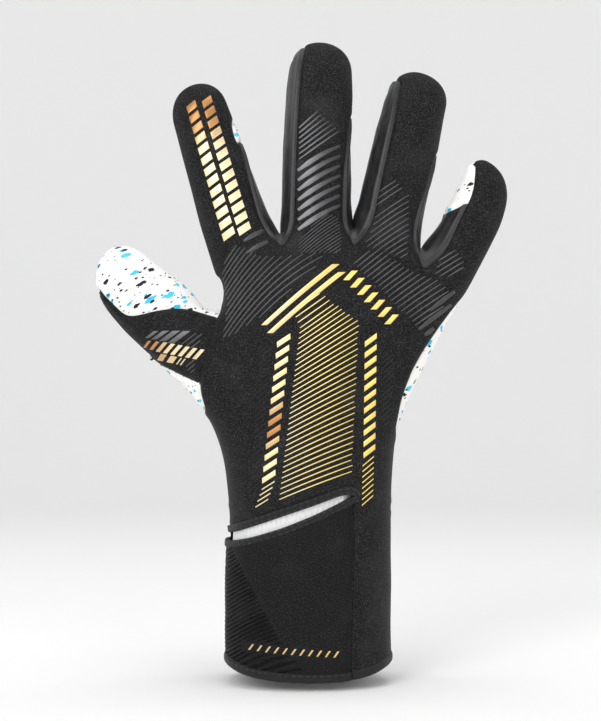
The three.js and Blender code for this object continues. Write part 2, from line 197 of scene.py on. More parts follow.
DIGITS = {
    "index": Digit(
        "index_knuckle", "index_middle", 77.2,
        [(-18, -16.6), (0, -16.3), (16, -16.2), (31, -15.2), (48, -14.4), (60, -13.8)],
        [(0, 15.6), (10, 14.3), (33, 13.2), (50, 12.3), (66, 11.5)],
        -0.5, 16, 12, 8,
    ),
    "middle": Digit(
        "middle_knuckle", "middle_middle", 90.3,
        [(0, -15.4), (10, -16.2), (40, -16.2), (65, -15.2), (78, -14.3)],
        [(0, 15.7), (12, 15.7), (30, 15.5), (50, 14.5), (66, 14.9), (78, 14.4)],
        0, 15, 14, 9,
    ),
    "ring": Digit(
        "ring_knuckle", "ring_middle", 79.2,
        [(0, -17.1), (12, -17.1), (30, -16.8), (48, -16.5), (60, -15.8)],
        [(0, 13.9), (26, 13.4), (44, 12.9), (62, 12.2)],
        -2.5, 18, 13, 8,
    ),
    "little": Digit(
        "little_knuckle", "little_middle", 49.3,
        [(-6, -13.9), (5, -13.6), (14, -11.9), (28, -11.7), (42, -11.5)],
        [(-12, 12.3), (0, 12.6), (14, 12.9), (25, 12.8), (32, 12)],
        -5, 8, 21, 5,
    ),
    "thumb": Digit(
        "thumb_base", "thumb_middle", 63.6,
        [(-6, -17.2), (2, -17.8), (18, -17.5), (33, -17.2), (40, -16.4)],
        [(14, 16.6), (28, 15.7), (37, 14.9), (46, 13.9)],
        2.5, 26, 15, 5,
    ),
}
FINGERS = ("index", "middle", "ring", "little")

# Where a gusset lies between two fingers: from the top of its strip on the first finger, round the crotch,
# to the top of its strip on the second. The seam lines are offsets from each finger's own line, by height.
GAPS = [
    {
        "name": "index_middle", "fingers": ("index", "middle"), "top": (46, 88.4), "low": (9, 7.5),
        "back_seam": ([(0, 9.4), (5, 9.6), (24, 10.6), (34, 11.3), (41, 11.9), (46, 12.5)],
                      [(0, -10.4), (24, -10.3), (52, -9.7), (77, -8.3), (88.4, -6.6)]),
        "crotch": (-12, 195.2), "back_crotch": (-11.6, 188.4), "palm_crotch": (-12.6, 187.5),
    },
    {
        "name": "middle_ring", "fingers": ("middle", "ring"), "top": (57, 73.6), "low": (10, 8.5),
        "back_seam": ([(0, 11.4), (24, 11.5), (35, 12), (45, 13.2), (57, 14.6)],
                      [(0, -9.4), (9, -8.8), (24, -9.2), (54, -9.3), (66, -9.9), (73.6, -9.6)]),
        "crotch": (19.85, 197.8), "back_crotch": (19.4, 188.3), "palm_crotch": (19.6, 187.5),
    },
    {
        "name": "ring_little", "fingers": ("ring", "little"), "top": (45, 19.5), "low": (6, 3.5), "slant": 8,
        "back_seam": ([(0, 10.9), (3, 10.6), (13, 9.7), (22, 10.3), (28, 11.5), (35, 12.1), (45, 12.8)],
                      [(-4, -5.9), (6, -4.0), (16, -4.9), (27.5, -4.9)]),
        "crotch": (49.3, 188.6), "back_crotch": (49.3, 178.4), "palm_crotch": (48.6, 178),
    },
]
PALM_INSET, PALM_TAPER = 4.2, 14
SIDE_STATION, CROTCH_STATIONS = 1.15, 7


def gap_lines(gap):
    """The three lines of a gusset, station by station: its outline and its seams on the back and the palm."""
    first, second = (DIGITS[name] for name in gap["fingers"])
    (first_top, second_top), (first_low, second_low) = gap["top"], gap["low"]
    s_down = np.linspace(first_top, first_low, int((first_top - first_low) / SIDE_STATION))
    s_up = np.linspace(second_low, second_top, int((second_top - second_low) / SIDE_STATION))
    slant = gap.get("slant", 0)
    s_back = s_up + slant * np.linspace(0, 1, len(s_up)) ** 2
    tables = [np.array(table, float) for table in gap["back_seam"]]
    outline = [first.edge("right", s_down), second.edge("left", s_up)]
    back = [np.interp(s, table[:, 0], table[:, 1]) for s, table in zip((s_down, s_back), tables)]
    # The little finger's strip stays open at its top, where a slanted seam crosses it.
    open_by = -7 if slant else 0
    palm = [
        outline[0] - PALM_INSET * smoothstep(first_top - s_down, 0, PALM_TAPER),
        outline[1] + PALM_INSET * smoothstep(second_top - s_up, open_by, PALM_TAPER),
    ]
    lines = {}
    for key, s_second, (u_down, u_up), bottom in (
        ("outline", s_up, outline, gap["crotch"]),
        ("back", s_back, back, gap["back_crotch"]),
        ("palm", s_up, palm, gap["palm_crotch"]),
    ):
        down, up = first.point(s_down, u_down), second.point(s_second, u_up)
        share = np.linspace(0, 1, CROTCH_STATIONS + 2)[1:-1, None]
        into = down[-1] + (np.array(bottom) - down[-1]) * share
        out = np.array(bottom) + (up[0] - np.array(bottom)) * share
        lines[key] = smooth_line(np.vstack([down, into, [bottom], out, up]), 2.4)
    for key in ("back", "palm"):
        lines[key][0] = lines["outline"][0]
        if not slant:
            lines[key][-1] = lines["outline"][-1]
    return lines


for gap in GAPS:
    gap["lines"] = gap_lines(gap)
INDEX_GAP, MIDDLE_GAP, LITTLE_GAP = (gap["lines"] for gap in GAPS)

# ---------------------------------------------------------------- outline of the whole glove

HEM_LINE = curve([(-34.8, 9.5), (-28, 6.2), (-16, 4.4), (0, 3.6), (14, 3.8), (27, 5.4), (36.5, 9.5)])
thumb = DIGITS["thumb"]
index = DIGITS["index"]
little = DIGITS["little"]

WRIST_LEFT = curve(
    [(-34.8, 9.5), (-34.8, 40), (-34.6, 56), (-33.9, 66), (-34.6, 76), (-35.6, 88), (-36.6, 95), (-38.6, 104),
     (-41.8, 112.5), (-46.2, 119.6), tuple(thumb.point(-2.0, -17.4))]
)
THUMB_CROTCH = [
    (-47.6, 165.4), (-44.2, 163.6), (-41.4, 162.4), (-39.4, 162.6), (-38.0, 164.4), (-37.2, 167.2),
    (-36.9, 171.0), (-37.4, 174.5), (-39.2, 178.4),
]
LEFT_SIDE = smooth_line(
    np.vstack(
        [
            WRIST_LEFT[:-1],
            thumb.edge_points("left", 0, thumb.tip),
            thumb.edge_points("right", thumb.tip, 22)[1:],
            even(THUMB_CROTCH),
            index.edge_points("left", -8, index.tip),
        ]
    ),
    1.3,
)
INDEX_RIGHT = index.edge_points("right", index.tip, GAPS[0]["top"][0])
MIDDLE_TOP = np.vstack(
    [
        DIGITS["middle"].edge_points("left", GAPS[0]["top"][1], DIGITS["middle"].tip),
        DIGITS["middle"].edge_points("right", DIGITS["middle"].tip, GAPS[1]["top"][0])[1:],
    ]
)
RING_TOP = np.vstack(
    [
        DIGITS["ring"].edge_points("left", GAPS[1]["top"][1], DIGITS["ring"].tip),
        DIGITS["ring"].edge_points("right", DIGITS["ring"].tip, GAPS[2]["top"][0])[1:],
    ]
)
LITTLE_LEFT = little.edge_points("left", GAPS[2]["top"][1], little.tip)
RIGHT_SIDE = smooth_line(
    np.vstack(
        [
            little.edge_points("right", little.tip, -6),
            even([
                (66.8, 166.8), (63.8, 161.8), (60.6, 157), (55.4, 147), (50.2, 136.5), (44.6, 125.6),
                (40.4, 116), (38.3, 107), (37.4, 98), (36.8, 88), (36.5, 76), (36.5, 40), (36.5, 9.5),
            ]),
        ]
    ),
    1.3,
)
OUTLINE = closed(
    LEFT_SIDE, INDEX_RIGHT, INDEX_GAP["outline"], MIDDLE_TOP, MIDDLE_GAP["outline"], RING_TOP,
    LITTLE_GAP["outline"], LITTLE_LEFT, RIGHT_SIDE, HEM_LINE[::-1],
)



def pinned(line, start=None, end=None):
    """The line with its ends moved onto other lines. A pin is another line and a place near the point."""
    for place, pin in ((0, start), (-1, end)):
        if pin:
            line[place] = pin[0][nearest(*pin)]
    return line


# Seams seen on the back.
BLACK_LEFT = pinned(
    curve(
        [(-45.1, 119.5), (-46.6, 123.2), (-47.4, 127.4), (-47.5, 131.4), (-46.6, 137.2), (-44.9, 143.4),
         (-43, 149.8), (-41.2, 155.6), (-39.9, 160.4), (-38.4, 164.4), (-37.4, 169.4)], sigma=1.5
    ),
    (LEFT_SIDE, (-45.6, 118.6)), (LEFT_SIDE, (-37.4, 170)),
)
BLACK_RIGHT = pinned(
    curve(
        [(67.8, 168.4), (62, 161), (57.2, 154.4), (51, 145.6), (45.6, 136), (41.6, 125), (38.6, 111)],
        sigma=1.5,
    ),
    (RIGHT_SIDE, (67.8, 168.4)), (RIGHT_SIDE, (38.6, 109)),
)
STRIP_UPPER = pinned(
    curve(
        [(-93.3, 173), (-90.6, 169.6), (-87.3, 166.6), (-84, 163.4), (-80.6, 160.6), (-77.4, 160.2),
         (-72.6, 161.2), (-66.2, 162.9), (-58.7, 164), (-52.3, 163.9), (-47, 162.6), (-42.9, 161.4),
         (-39.9, 160.4)], sigma=1.3
    ),
    (LEFT_SIDE, (-93.3, 173)), (BLACK_LEFT, (-39.9, 160.4)),
)
STRIP_LOWER = pinned(
    curve(
        [(-71.4, 141.8), (-67.2, 139.6), (-63, 137.4), (-57.6, 134.8), (-52.3, 132.6), (-47.4, 130.6)],
        sigma=1.3,
    ),
    (LEFT_SIDE, (-71.4, 141.8)), (BLACK_LEFT, (-47.4, 130.6)),
)


def digit_line(digit, table):
    """A line from rows of distances along a digit and across it."""
    table = np.array(table, float)
    return even(digit.point(table[:, 0], table[:, 1]))


LITTLE_SEAM = pinned(
    smooth_line(digit_line(little, [(27.5, -4.9), (31, -4.9), (36, -6), (41.5, -8), (45.6, -9.6)]), 1.2),
    end=(LITTLE_LEFT, little.point(45.6, -9.6)),
)
LITTLE_SEAM[0] = LITTLE_GAP["back"][-1]
INDEX_SEAM = pinned(
    smooth_line(digit_line(index, [(56, 11.9), (52, 10.9), (47.5, 10.7), (44, 11.5)]), 1.0),
    (INDEX_RIGHT, index.point(56, 12)),
)
INDEX_SEAM[-1] = INDEX_RIGHT[-1]

# The wrist slit, the strap's seam, and the edge between the palm's latex and the cuff.
SEAM = pinned(
    curve([(19.2, 3.0), (19.3, 30), (20.6, 58), (20.2, 74), (19.4, 81.6)], sigma=2), (HEM_LINE, (19.2, 3))
)
SLIT_UPPER = pinned(
    curve(
        [(-33.8, 67.4), (-24, 71.2), (-10, 76.4), (4, 81.2), (12, 84.2), (17, 85.6), (19.6, 84.4),
         (19.4, 81.6)], sigma=1.3
    ),
    (LEFT_SIDE, (-33.9, 67.4)),
)
SLIT_LOWER = pinned(
    curve(
        [(-34.3, 61.2), (-24, 63.8), (-10, 68.5), (4, 74.2), (12, 78), (17, 80.4), (19.4, 81.6)], sigma=1.3
    ),
    (LEFT_SIDE, (-34.3, 61.6)),
)
SLIT_UPPER[-1] = SLIT_LOWER[-1] = SEAM[-1]
PALM_EDGE = pinned(
    curve([(-34.4, 74), (-20, 76), (0, 77), (20, 77), (36.5, 76)]),
    (LEFT_SIDE, (-34.4, 74)), (RIGHT_SIDE, (36.5, 76)),
)

# ---------------------------------------------------------------- triangles inside a loop

RINGS = (0.06, 0.22, 0.55, 1.05, 1.75, 2.7, 3.8)


def triangulate(loop, spacing=1.5, rings=RINGS):
    """Triangles that fill a loop, with rows of points close to its edge, where the body turns away."""
    size = len(loop)
    ahead, behind = np.roll(loop, -1, 0), np.roll(loop, 1, 0)
    tangent = ahead - behind
    tangent /= np.maximum(np.linalg.norm(tangent, axis=1, keepdims=True), 1e-9)
    area = 0.5 * np.sum(loop[:, 0] * ahead[:, 1] - ahead[:, 0] * loop[:, 1])
    inward = np.stack([-tangent[:, 1], tangent[:, 0]], 1) * (1 if area > 0 else -1)
    around = [np.vstack([loop, loop[:1]])]
    points = [loop]
    for ring in rings:
        row = loop + inward * ring
        keep = distance_to_lines(row, around) > 0.9 * ring
        points.append(row[keep])
    low, high = loop.min(0), loop.max(0)
    xs = np.arange(low[0], high[0], spacing)
    zs = np.arange(low[1], high[1], spacing * 0.866)
    grid = np.array([(x + (0.5 * spacing if j % 2 else 0), z) for j, z in enumerate(zs) for x in xs])
    grid = grid[inside(grid, loop)]
    grid = grid[distance_to_lines(grid, around) > rings[-1] + 0.5 * spacing]
    points.append(grid)
    coords = np.vstack(points)
    result = delaunay_2d_cdt([Vector(p) for p in coords], [], [list(range(size))], 1, 1e-5)
    verts = np.array([tuple(v) for v in result[0]])
    return verts, np.array([f for f in result[2] if len(f) == 3])


def inside(points, loop):
    """Which points lie inside a loop."""
    x, z = points[:, 0], points[:, 1]
    result = np.zeros(len(points), bool)
    previous = loop[-1]
    for corner in loop:
        crosses = (corner[1] > z) != (previous[1] > z)
        slope = (previous[0] - corner[0]) / ((previous[1] - corner[1]) or 1e-12)
        result ^= crosses & (x < slope * (z - corner[1]) + corner[0])
        previous = corner
    return result


# ---------------------------------------------------------------- the inflated body


SOLVER_STEPS, SOLVER_END = 1500, 1e-12


def solve_body(verts, tris, fixed, push, drag):
    """The squared depth f of a filled skin: -laplace(f) + drag f = push, with f = 0 at fixed points."""
    count = len(verts)
    a, b, c = (verts[tris[:, k]] for k in range(3))
    area = 0.5 * np.abs(np.cross(b - a, c - a))
    area = np.maximum(area, 1e-9)
    rows, cols, weights = [], [], []
    for i, j, k in ((0, 1, 2), (1, 2, 0), (2, 0, 1)):
        p, q, r = verts[tris[:, i]], verts[tris[:, j]], verts[tris[:, k]]
        cot = ((p - r) * (q - r)).sum(1) / (2 * area)
        rows += [tris[:, i], tris[:, j]]
        cols += [tris[:, j], tris[:, i]]
        weights += [0.5 * cot, 0.5 * cot]
    rows, cols, weights = np.concatenate(rows), np.concatenate(cols), np.concatenate(weights)
    mass = sum(np.bincount(tris[:, k], area / 3, count) for k in range(3))
    diagonal = np.bincount(rows, weights, count) + drag * mass
    free = ~fixed

    def apply(x):
        return (diagonal * x - np.bincount(rows, weights * x[cols], count)) * free

    right = push * mass * free
    solution = np.zeros(count)
    residual = right.copy()
    scale = 1 / np.maximum(diagonal, 1e-9)
    z = scale * residual * free
    direction = z.copy()
    rz = residual @ z
    for _ in range(SOLVER_STEPS):
        moved = apply(direction)
        step = rz / max(direction @ moved, 1e-30)
        solution += step * direction
        residual -= step * moved
        z = scale * residual * free
        rz_next = residual @ z
        if rz_next < SOLVER_END * (right @ (scale * right)):
            break
        direction = z + (rz_next / rz) * direction
        rz = rz_next
    return np.maximum(solution, 0)


class Body:
    """The filled glove: for a point in the XZ plane, how far out the back or the palm lies."""

    def __init__(self):
        verts, tris = triangulate(OUTLINE, 2.0)
        self.verts, self.tris = verts, tris
        at_edge = distance_to_lines(verts, [np.vstack([OUTLINE, OUTLINE[:1]])]) < 0.01
        low = verts[:, 1] < np.interp(verts[:, 0], HEM_LINE[:, 0], HEM_LINE[:, 1]) + 0.3
        fixed = at_edge & ~(low & (np.abs(verts[:, 0] - 0.85) < 35.2))
        # The wrist is rounder than the hand, and the thumb is fuller than the fingers.
        wrist = smoothstep(verts[:, 1], 118, 78)
        thumb_share = smoothstep(-verts[:, 0], 44, 56) * (1 - smoothstep(verts[:, 1], 186, 196))
        push = {
            BACK: 1.45 + 0.12 * wrist + 0.15 * thumb_share,
            PALM: 1.75 - 0.2 * wrist + 0.2 * thumb_share,
        }
        drag = {BACK: 0.003 - 0.0018 * wrist, PALM: 0.0031 - 0.0019 * wrist}
        self.squared = {side: solve_body(verts, tris, fixed, push[side], drag[side]) for side in (BACK, PALM)}
        flat = [Vector((x, z, 0)) for x, z in verts]
        self.tree = BVHTree.FromPolygons(flat, tris.tolist(), epsilon=0)

    def depth(self, points, side):
        """Distance of the skin from the middle of the glove."""
        result = np.zeros(len(points))
        squared = self.squared[side]
        for n, (x, z) in enumerate(points):
            where, _, face, _ = self.tree.find_nearest(Vector((x, z, 0)))
            i, j, k = self.tris[face]
            (ax, az), (bx, bz), (cx, cz) = self.verts[i], self.verts[j], self.verts[k]
            total = (bx - ax) * (cz - az) - (cx - ax) * (bz - az)
            wb = ((where.x - ax) * (cz - az) - (cx - ax) * (where.y - az)) / total
            wc = ((bx - ax) * (where.y - az) - (where.x - ax) * (bz - az)) / total
            result[n] = squared[i] * (1 - wb - wc) + squared[j] * wb + squared[k] * wc
        return np.sqrt(np.maximum(result, 0))

    def skin(self, points, side):
        """Points on the skin, in the row frame."""
        points = np.asarray(points, float)
        y = middle(points) + side * self.depth(points, side)
        return np.stack([points[:, 0], y, points[:, 1]], 1)

    def skin_and_normal(self, points, side, step=0.5):
        points = np.asarray(points, float)
        here = self.skin(points, side)
        dx = self.skin(points + (step, 0), side) - self.skin(points - (step, 0), side)
        dz = self.skin(points + (0, step), side) - self.skin(points - (0, step), side)
        normal = np.cross(dx, dz)
        normal *= side * np.sign(normal[:, 1:2])
        return here, normal / np.maximum(np.linalg.norm(normal, axis=1, keepdims=True), 1e-9)


THUMB_ROOT = np.array([-46.0, 148.0])
THUMB_OUT = np.array([-0.961, 0.276])
THUMB_OFFSET = 6.5


def thumb_reach(points):
    """How far a point lies out past the line where the thumb leaves the hand."""
    return (np.asarray(points, float) - THUMB_ROOT) @ THUMB_OUT


def finger_of(points):
    """For each point, the number of the finger whose line is nearest and its distance along that finger."""
    measures = [DIGITS[name].measure(points) for name in FINGERS]
    which = np.argmin([np.abs(u) for _, u in measures], axis=0)
    along = np.choose(which, [s for s, _ in measures])
    return which, along


def middle(points):
    """The mid-surface: fingertips curl to the palm, and the thumb stands off to the palm side."""
    points = np.asarray(points, float)
    which, along = finger_of(points)
    tips = np.array([DIGITS[name].tip for name in FINGERS])[which]
    curls = np.array([DIGITS[name].curl for name in FINGERS])[which]
    y = curls * (np.maximum(along, 0) / tips) ** 2
    s, u = thumb.measure(points)
    beside = smoothstep(thumb_reach(points), -14, 12) * (1 - smoothstep(u, 15, 30))
    return y * (1 - beside) + beside * (THUMB_OFFSET + thumb.curl * (np.clip(s, 0, 70) / thumb.tip) ** 2)


BODY = Body()

# ---------------------------------------------------------------- meshes in the making


def unit(vectors):
    """The vectors at length one."""
    return vectors / np.maximum(np.linalg.norm(vectors, axis=-1, keepdims=True), 1e-12)


def vertex_normals(points, faces):
    """Area-weighted normals of triangles or quads."""
    normals = np.zeros((len(points), 3))
    for size in (3, 4):
        chosen = np.array([f for f in faces if len(f) == size], int)
        if not len(chosen):
            continue
        corners = [points[chosen[:, k]] for k in range(size)]
        # A triangle's first two sides, or a quad's diagonals.
        across = np.cross(corners[size - 2] - corners[0], corners[size - 1] - corners[size - 3])
        for k in range(size):
            np.add.at(normals, chosen[:, k], across)
    return unit(normals)


class Patch:
    """Points on the glove with their faces, their place in the plan, and cloth coordinates for materials."""

    def __init__(self, points, faces, flat, cloth=None):
        self.points = np.asarray(points, float)
        self.faces = [tuple(int(i) for i in f) for f in faces]
        self.flat = np.asarray(flat, float)
        self.cloth = self.points.copy() if cloth is None else np.asarray(cloth, float)
        self.normals = None

    def joined(self, *others):
        """This patch and others as one, not welded."""
        points, flat, cloth, faces = [self.points], [self.flat], [self.cloth], list(self.faces)
        start = len(self.points)
        for other in others:
            points.append(other.points)
            flat.append(other.flat)
            cloth.append(other.cloth)
            faces += [tuple(i + start for i in f) for f in other.faces]
            start += len(other.points)
        return Patch(np.vstack(points), faces, np.vstack(flat), np.vstack(cloth))

    def welded(self, gap=0.02):
        """The same patch with points that coincide made one."""
        keys, order = {}, np.zeros(len(self.points), int)
        keep = []
        for n, key in enumerate(map(tuple, np.round(self.points / gap).astype(int))):
            if key not in keys:
                keys[key] = len(keep)
                keep.append(n)
            order[n] = keys[key]
        faces = [tuple(order[i] for i in f) for f in self.faces]
        faces = [f for f in faces if len(set(f)) == len(f)]
        return Patch(self.points[keep], faces, self.flat[keep], self.cloth[keep])

    def refresh(self):
        self.normals = vertex_normals(self.points, self.faces)
        return self

    def push(self, distance):
        """Moves each point along its normal."""
        if self.normals is None:
            self.refresh()
        self.points = self.points + self.normals * np.asarray(distance, float).reshape(-1, 1)
        return self.refresh()


def skin_patch(loop, side, spacing=1.5):
    """The part of the skin inside a plan loop."""
    flat, tris = triangulate(loop, spacing)
    a, b, c = (flat[tris[:, k]] for k in range(3))
    turn = np.cross(b - a, c - a)
    tris = tris[np.abs(turn) > 1e-7]
    turn = turn[np.abs(turn) > 1e-7]
    wanted = 1 if side == BACK else -1
    wrong = np.sign(turn) != wanted
    tris[wrong] = tris[wrong][:, ::-1]
    points = BODY.skin(flat, side)
    cloth = np.stack([flat[:, 0], flat[:, 1], points[:, 1] + side * 40.0], 1)
    return Patch(points, tris, flat, cloth)


def folds(points, size=17.0, seed=0.0):
    """Soft unevenness of cloth, about -1 to 1."""
    return np.array([noise.noise(Vector((x / size + seed, y / size, z / size))) for x, y, z in points])


def hump(distance, centre, width):
    """1 at a distance, falling off to both sides."""
    return np.exp(-(((distance - centre) / width) ** 2))


PRESS_WIDTH, PUFF_AT, PUFF_WIDTH = 0.95, 2.7, 1.5


def sewn(patch, seams, sink=0.75, puff=0.28, unevenness=0.3):
    """Presses a panel's edge down along its seams, and fills it a little just beside them."""
    gap = distance_to_lines(patch.points, seams)
    depth = puff * hump(gap, PUFF_AT, PUFF_WIDTH) - sink * hump(gap, 0, PRESS_WIDTH)
    depth += unevenness * folds(patch.points) * smoothstep(gap, 0, 6)
    return patch.refresh().push(depth)


# ---------------------------------------------------------------- panels


def along_left(start, end):
    return stretch(LEFT_SIDE, start, end)


# Stretches of line that several panels share.
THUMB_EDGE = along_left(BLACK_LEFT[-1], LEFT_SIDE[-1])
INDEX_TIP_EDGE = INDEX_RIGHT[: nearest(INDEX_RIGHT, INDEX_SEAM[0]) + 1]
LITTLE_TIP_START = nearest(LITTLE_LEFT, LITTLE_SEAM[-1])
LITTLE_TIP_EDGE = LITTLE_LEFT[LITTLE_TIP_START:]
RIGHT_UPPER_EDGE = stretch(RIGHT_SIDE, RIGHT_SIDE[0], BLACK_RIGHT[0])
STRIP_ROOT = stretch(BLACK_LEFT, STRIP_LOWER[-1], STRIP_UPPER[-1])
STRIP_EDGE = along_left(STRIP_LOWER[0], STRIP_UPPER[0])
LITTLE_CUT = even([LITTLE_GAP["outline"][-1], LITTLE_GAP["back"][-1]])
LITTLE_END = even([LITTLE_GAP["palm"][-1], LITTLE_GAP["outline"][-1]])

BACK_LOOP = closed(
    BLACK_LEFT, THUMB_EDGE, INDEX_TIP_EDGE, INDEX_SEAM, INDEX_GAP["back"], MIDDLE_TOP, MIDDLE_GAP["back"],
    RING_TOP, LITTLE_GAP["back"], LITTLE_SEAM, LITTLE_TIP_EDGE, RIGHT_UPPER_EDGE, BLACK_RIGHT,
    stretch(RIGHT_SIDE, BLACK_RIGHT[-1], RIGHT_SIDE[-1]), stretch(HEM_LINE, SEAM[0], HEM_LINE[-1])[::-1],
    SEAM, SLIT_UPPER[::-1], along_left(SLIT_UPPER[0], BLACK_LEFT[0]),
)
STRIP_LOOP = closed(STRIP_LOWER, STRIP_ROOT, STRIP_UPPER[::-1], STRIP_EDGE[::-1])
PALM_LOOP = closed(
    along_left(PALM_EDGE[0], LEFT_SIDE[-1]), INDEX_RIGHT, INDEX_GAP["palm"], MIDDLE_TOP, MIDDLE_GAP["palm"],
    RING_TOP, LITTLE_GAP["palm"], LITTLE_END, LITTLE_LEFT, stretch(RIGHT_SIDE, RIGHT_SIDE[0], PALM_EDGE[-1]),
    PALM_EDGE[::-1],
)
CUFF_LOOP = closed(
    PALM_EDGE, stretch(RIGHT_SIDE, PALM_EDGE[-1], RIGHT_SIDE[-1]), HEM_LINE[::-1],
    along_left(LEFT_SIDE[0], PALM_EDGE[0]),
)
# Where the latex rolls onto the back: the thumb above and below its strip, the little finger, the index
# finger and the little-finger edge of the hand.
ROLLED_LOOPS = (
    closed(
        STRIP_UPPER, stretch(BLACK_LEFT, STRIP_UPPER[-1], BLACK_LEFT[-1]),
        along_left(STRIP_UPPER[0], BLACK_LEFT[-1])[::-1],
    ),
    closed(
        stretch(BLACK_LEFT, BLACK_LEFT[0], STRIP_LOWER[-1]), STRIP_LOWER[::-1],
        along_left(BLACK_LEFT[0], STRIP_LOWER[0])[::-1],
    ),
    closed(LITTLE_CUT, LITTLE_SEAM, LITTLE_LEFT[: LITTLE_TIP_START + 1][::-1]),
    closed(INDEX_SEAM, INDEX_RIGHT[nearest(INDEX_RIGHT, INDEX_SEAM[0]) :][::-1]),
    closed(BLACK_RIGHT, stretch(RIGHT_SIDE, BLACK_RIGHT[0], BLACK_RIGHT[-1])[::-1]),
)


def on_skin(side, *lines):
    return [BODY.skin(line, side) for line in lines]


# Every line that the neoprene and the latex are both sewn along. The neoprene's outer edges are seams too.
SHARED_SEAMS = on_skin(
    BACK, BLACK_LEFT, BLACK_RIGHT, INDEX_SEAM, LITTLE_SEAM, THUMB_EDGE, INDEX_TIP_EDGE, MIDDLE_TOP, RING_TOP,
    LITTLE_TIP_EDGE, RIGHT_UPPER_EDGE,
)
BLACK_SEAMS = SHARED_SEAMS + on_skin(
    BACK, SEAM, SLIT_UPPER, INDEX_GAP["back"], MIDDLE_GAP["back"], LITTLE_GAP["back"]
)
LATEX_SEAMS = SHARED_SEAMS + on_skin(BACK, STRIP_UPPER, STRIP_LOWER, LITTLE_CUT, STRIP_EDGE) + on_skin(
    PALM, INDEX_GAP["palm"], MIDDLE_GAP["palm"], LITTLE_GAP["palm"], PALM_EDGE, LITTLE_END
)
back_panel = sewn(skin_patch(BACK_LOOP, BACK, 1.4), BLACK_SEAMS)
thumb_strip = sewn(
    skin_patch(STRIP_LOOP, BACK, 1.4), on_skin(BACK, STRIP_LOWER, STRIP_UPPER, STRIP_ROOT, STRIP_EDGE)
)
latex = skin_patch(PALM_LOOP, PALM, 1.7).joined(*[skin_patch(loop, BACK, 1.2) for loop in ROLLED_LOOPS])
latex = sewn(latex.welded(), LATEX_SEAMS, 0.75, 0.3, 0.3)
cuff_palm = sewn(skin_patch(CUFF_LOOP, PALM, 2.0), on_skin(PALM, PALM_EDGE, HEM_LINE), 0.5, 0.15, 0.3)

# ---------------------------------------------------------------- gussets between the fingers

DIMPLE_FIRST, DIMPLE_STEP = 9.0, 19.0


def gusset(gap, half=11):
    """Leather from the back's seam over the outline to the palm's seam, with a welt beside each seam."""
    outline, back, palm = (gap["lines"][key] for key in ("outline", "back", "palm"))
    rows, flat_rows, places = [], [], []
    for q in np.linspace(1, 0, half, endpoint=False):
        flat = outline + (back - outline) * q**2
        flat_rows.append(flat)
        rows.append(BODY.skin(flat, BACK))
        places.append(1 - q)
    for q in np.linspace(0, 1, half + 1):
        flat = outline + (palm - outline) * q**2
        flat_rows.append(flat)
        rows.append(BODY.skin(flat, PALM) if q else np.stack([flat[:, 0], middle(flat), flat[:, 1]], 1))
        places.append(1 + q)
    rows = np.array(rows)
    across, along = rows.shape[:2]
    points = rows.reshape(-1, 3)
    index = np.arange(across * along).reshape(across, along)
    faces = np.stack([index[:-1, :-1], index[1:, :-1], index[1:, 1:], index[:-1, 1:]], -1).reshape(-1, 4)
    lengths = distances(outline)
    cloth = np.stack([np.tile(lengths, across), np.repeat(places, along) * 12, np.full(len(points), 7.0)], 1)
    patch = Patch(points, faces, np.array(flat_rows).reshape(-1, 2), cloth).refresh()
    if patch.normals[index[: half // 2]][..., 1].mean() > 0:
        patch.faces = [f[::-1] for f in patch.faces]
        patch.refresh()
    from_back = np.linalg.norm(rows - rows[:1], axis=2)
    from_palm = np.linalg.norm(rows - rows[-1:], axis=2)
    edge = np.minimum(from_back, from_palm)
    width = np.linalg.norm(np.diff(rows, axis=0), axis=2).sum(0)
    full = smoothstep(width, 3, 12)[None, :]
    depth = 0.55 * hump(edge, 1.25, 0.7) * full - 0.75 * hump(edge, 0, 0.6)
    to_crotch = np.abs(np.arange(along) - nearest(outline, gap["crotch"]))
    cleft = 1 - smoothstep(to_crotch, 6, 16)[None, :]
    depth -= (0.6 - 0.75 * cleft) * full * smoothstep(edge, 1.6, 4.0)
    ripple = 0.05 * np.sin(lengths / 2.1)[None, :] * smoothstep(edge, 1.5, 4) * full
    for dimple in np.arange(DIMPLE_FIRST, lengths[-1], DIMPLE_STEP):
        spot = hump(lengths, dimple, 0.9)[None, :] * hump(edge, 0.72 * edge.max(0, keepdims=True), 0.55)
        depth -= 0.5 * spot * full * (1 - cleft)
    creases = 0.12 * folds(points, 9.0, 9.0) * full.repeat(across, 0).reshape(-1)
    patch.push((depth + ripple).reshape(-1) + creases)
    return patch


gussets = [gusset(gap) for gap in GAPS]

# ---------------------------------------------------------------- making objects

bpy.context.scene.unit_settings.system = "METRIC"


def new_object(name, patch, keep, material, replaced):
    """A mesh object from some faces of a patch. Normals come from the whole patch, so cuts don't show."""
    chosen = [patch.faces[i] for i in keep]
    used = sorted({i for f in chosen for i in f})
    place = {old: new for new, old in enumerate(used)}
    mesh = bpy.data.meshes.new(name)
    mesh.from_pydata((patch.points[used] * MM).tolist(), [], [[place[i] for i in f] for f in chosen])
    mesh.materials.append(material)
    mesh.polygons.foreach_set("use_smooth", [True] * len(mesh.polygons))
    cloth = mesh.attributes.new("cloth", "FLOAT_VECTOR", "POINT")
    cloth.data.foreach_set("vector", patch.cloth[used].astype(np.float32).ravel())
    mesh.update()
    normals = patch.normals if patch.normals is not None else patch.refresh().normals
    mesh.normals_split_custom_set_from_vertices(normals[used].tolist())
    obj = bpy.data.objects.new(name, mesh)
    bpy.context.scene.collection.objects.link(obj)
    if replaced:
        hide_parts(*replaced)
    return obj


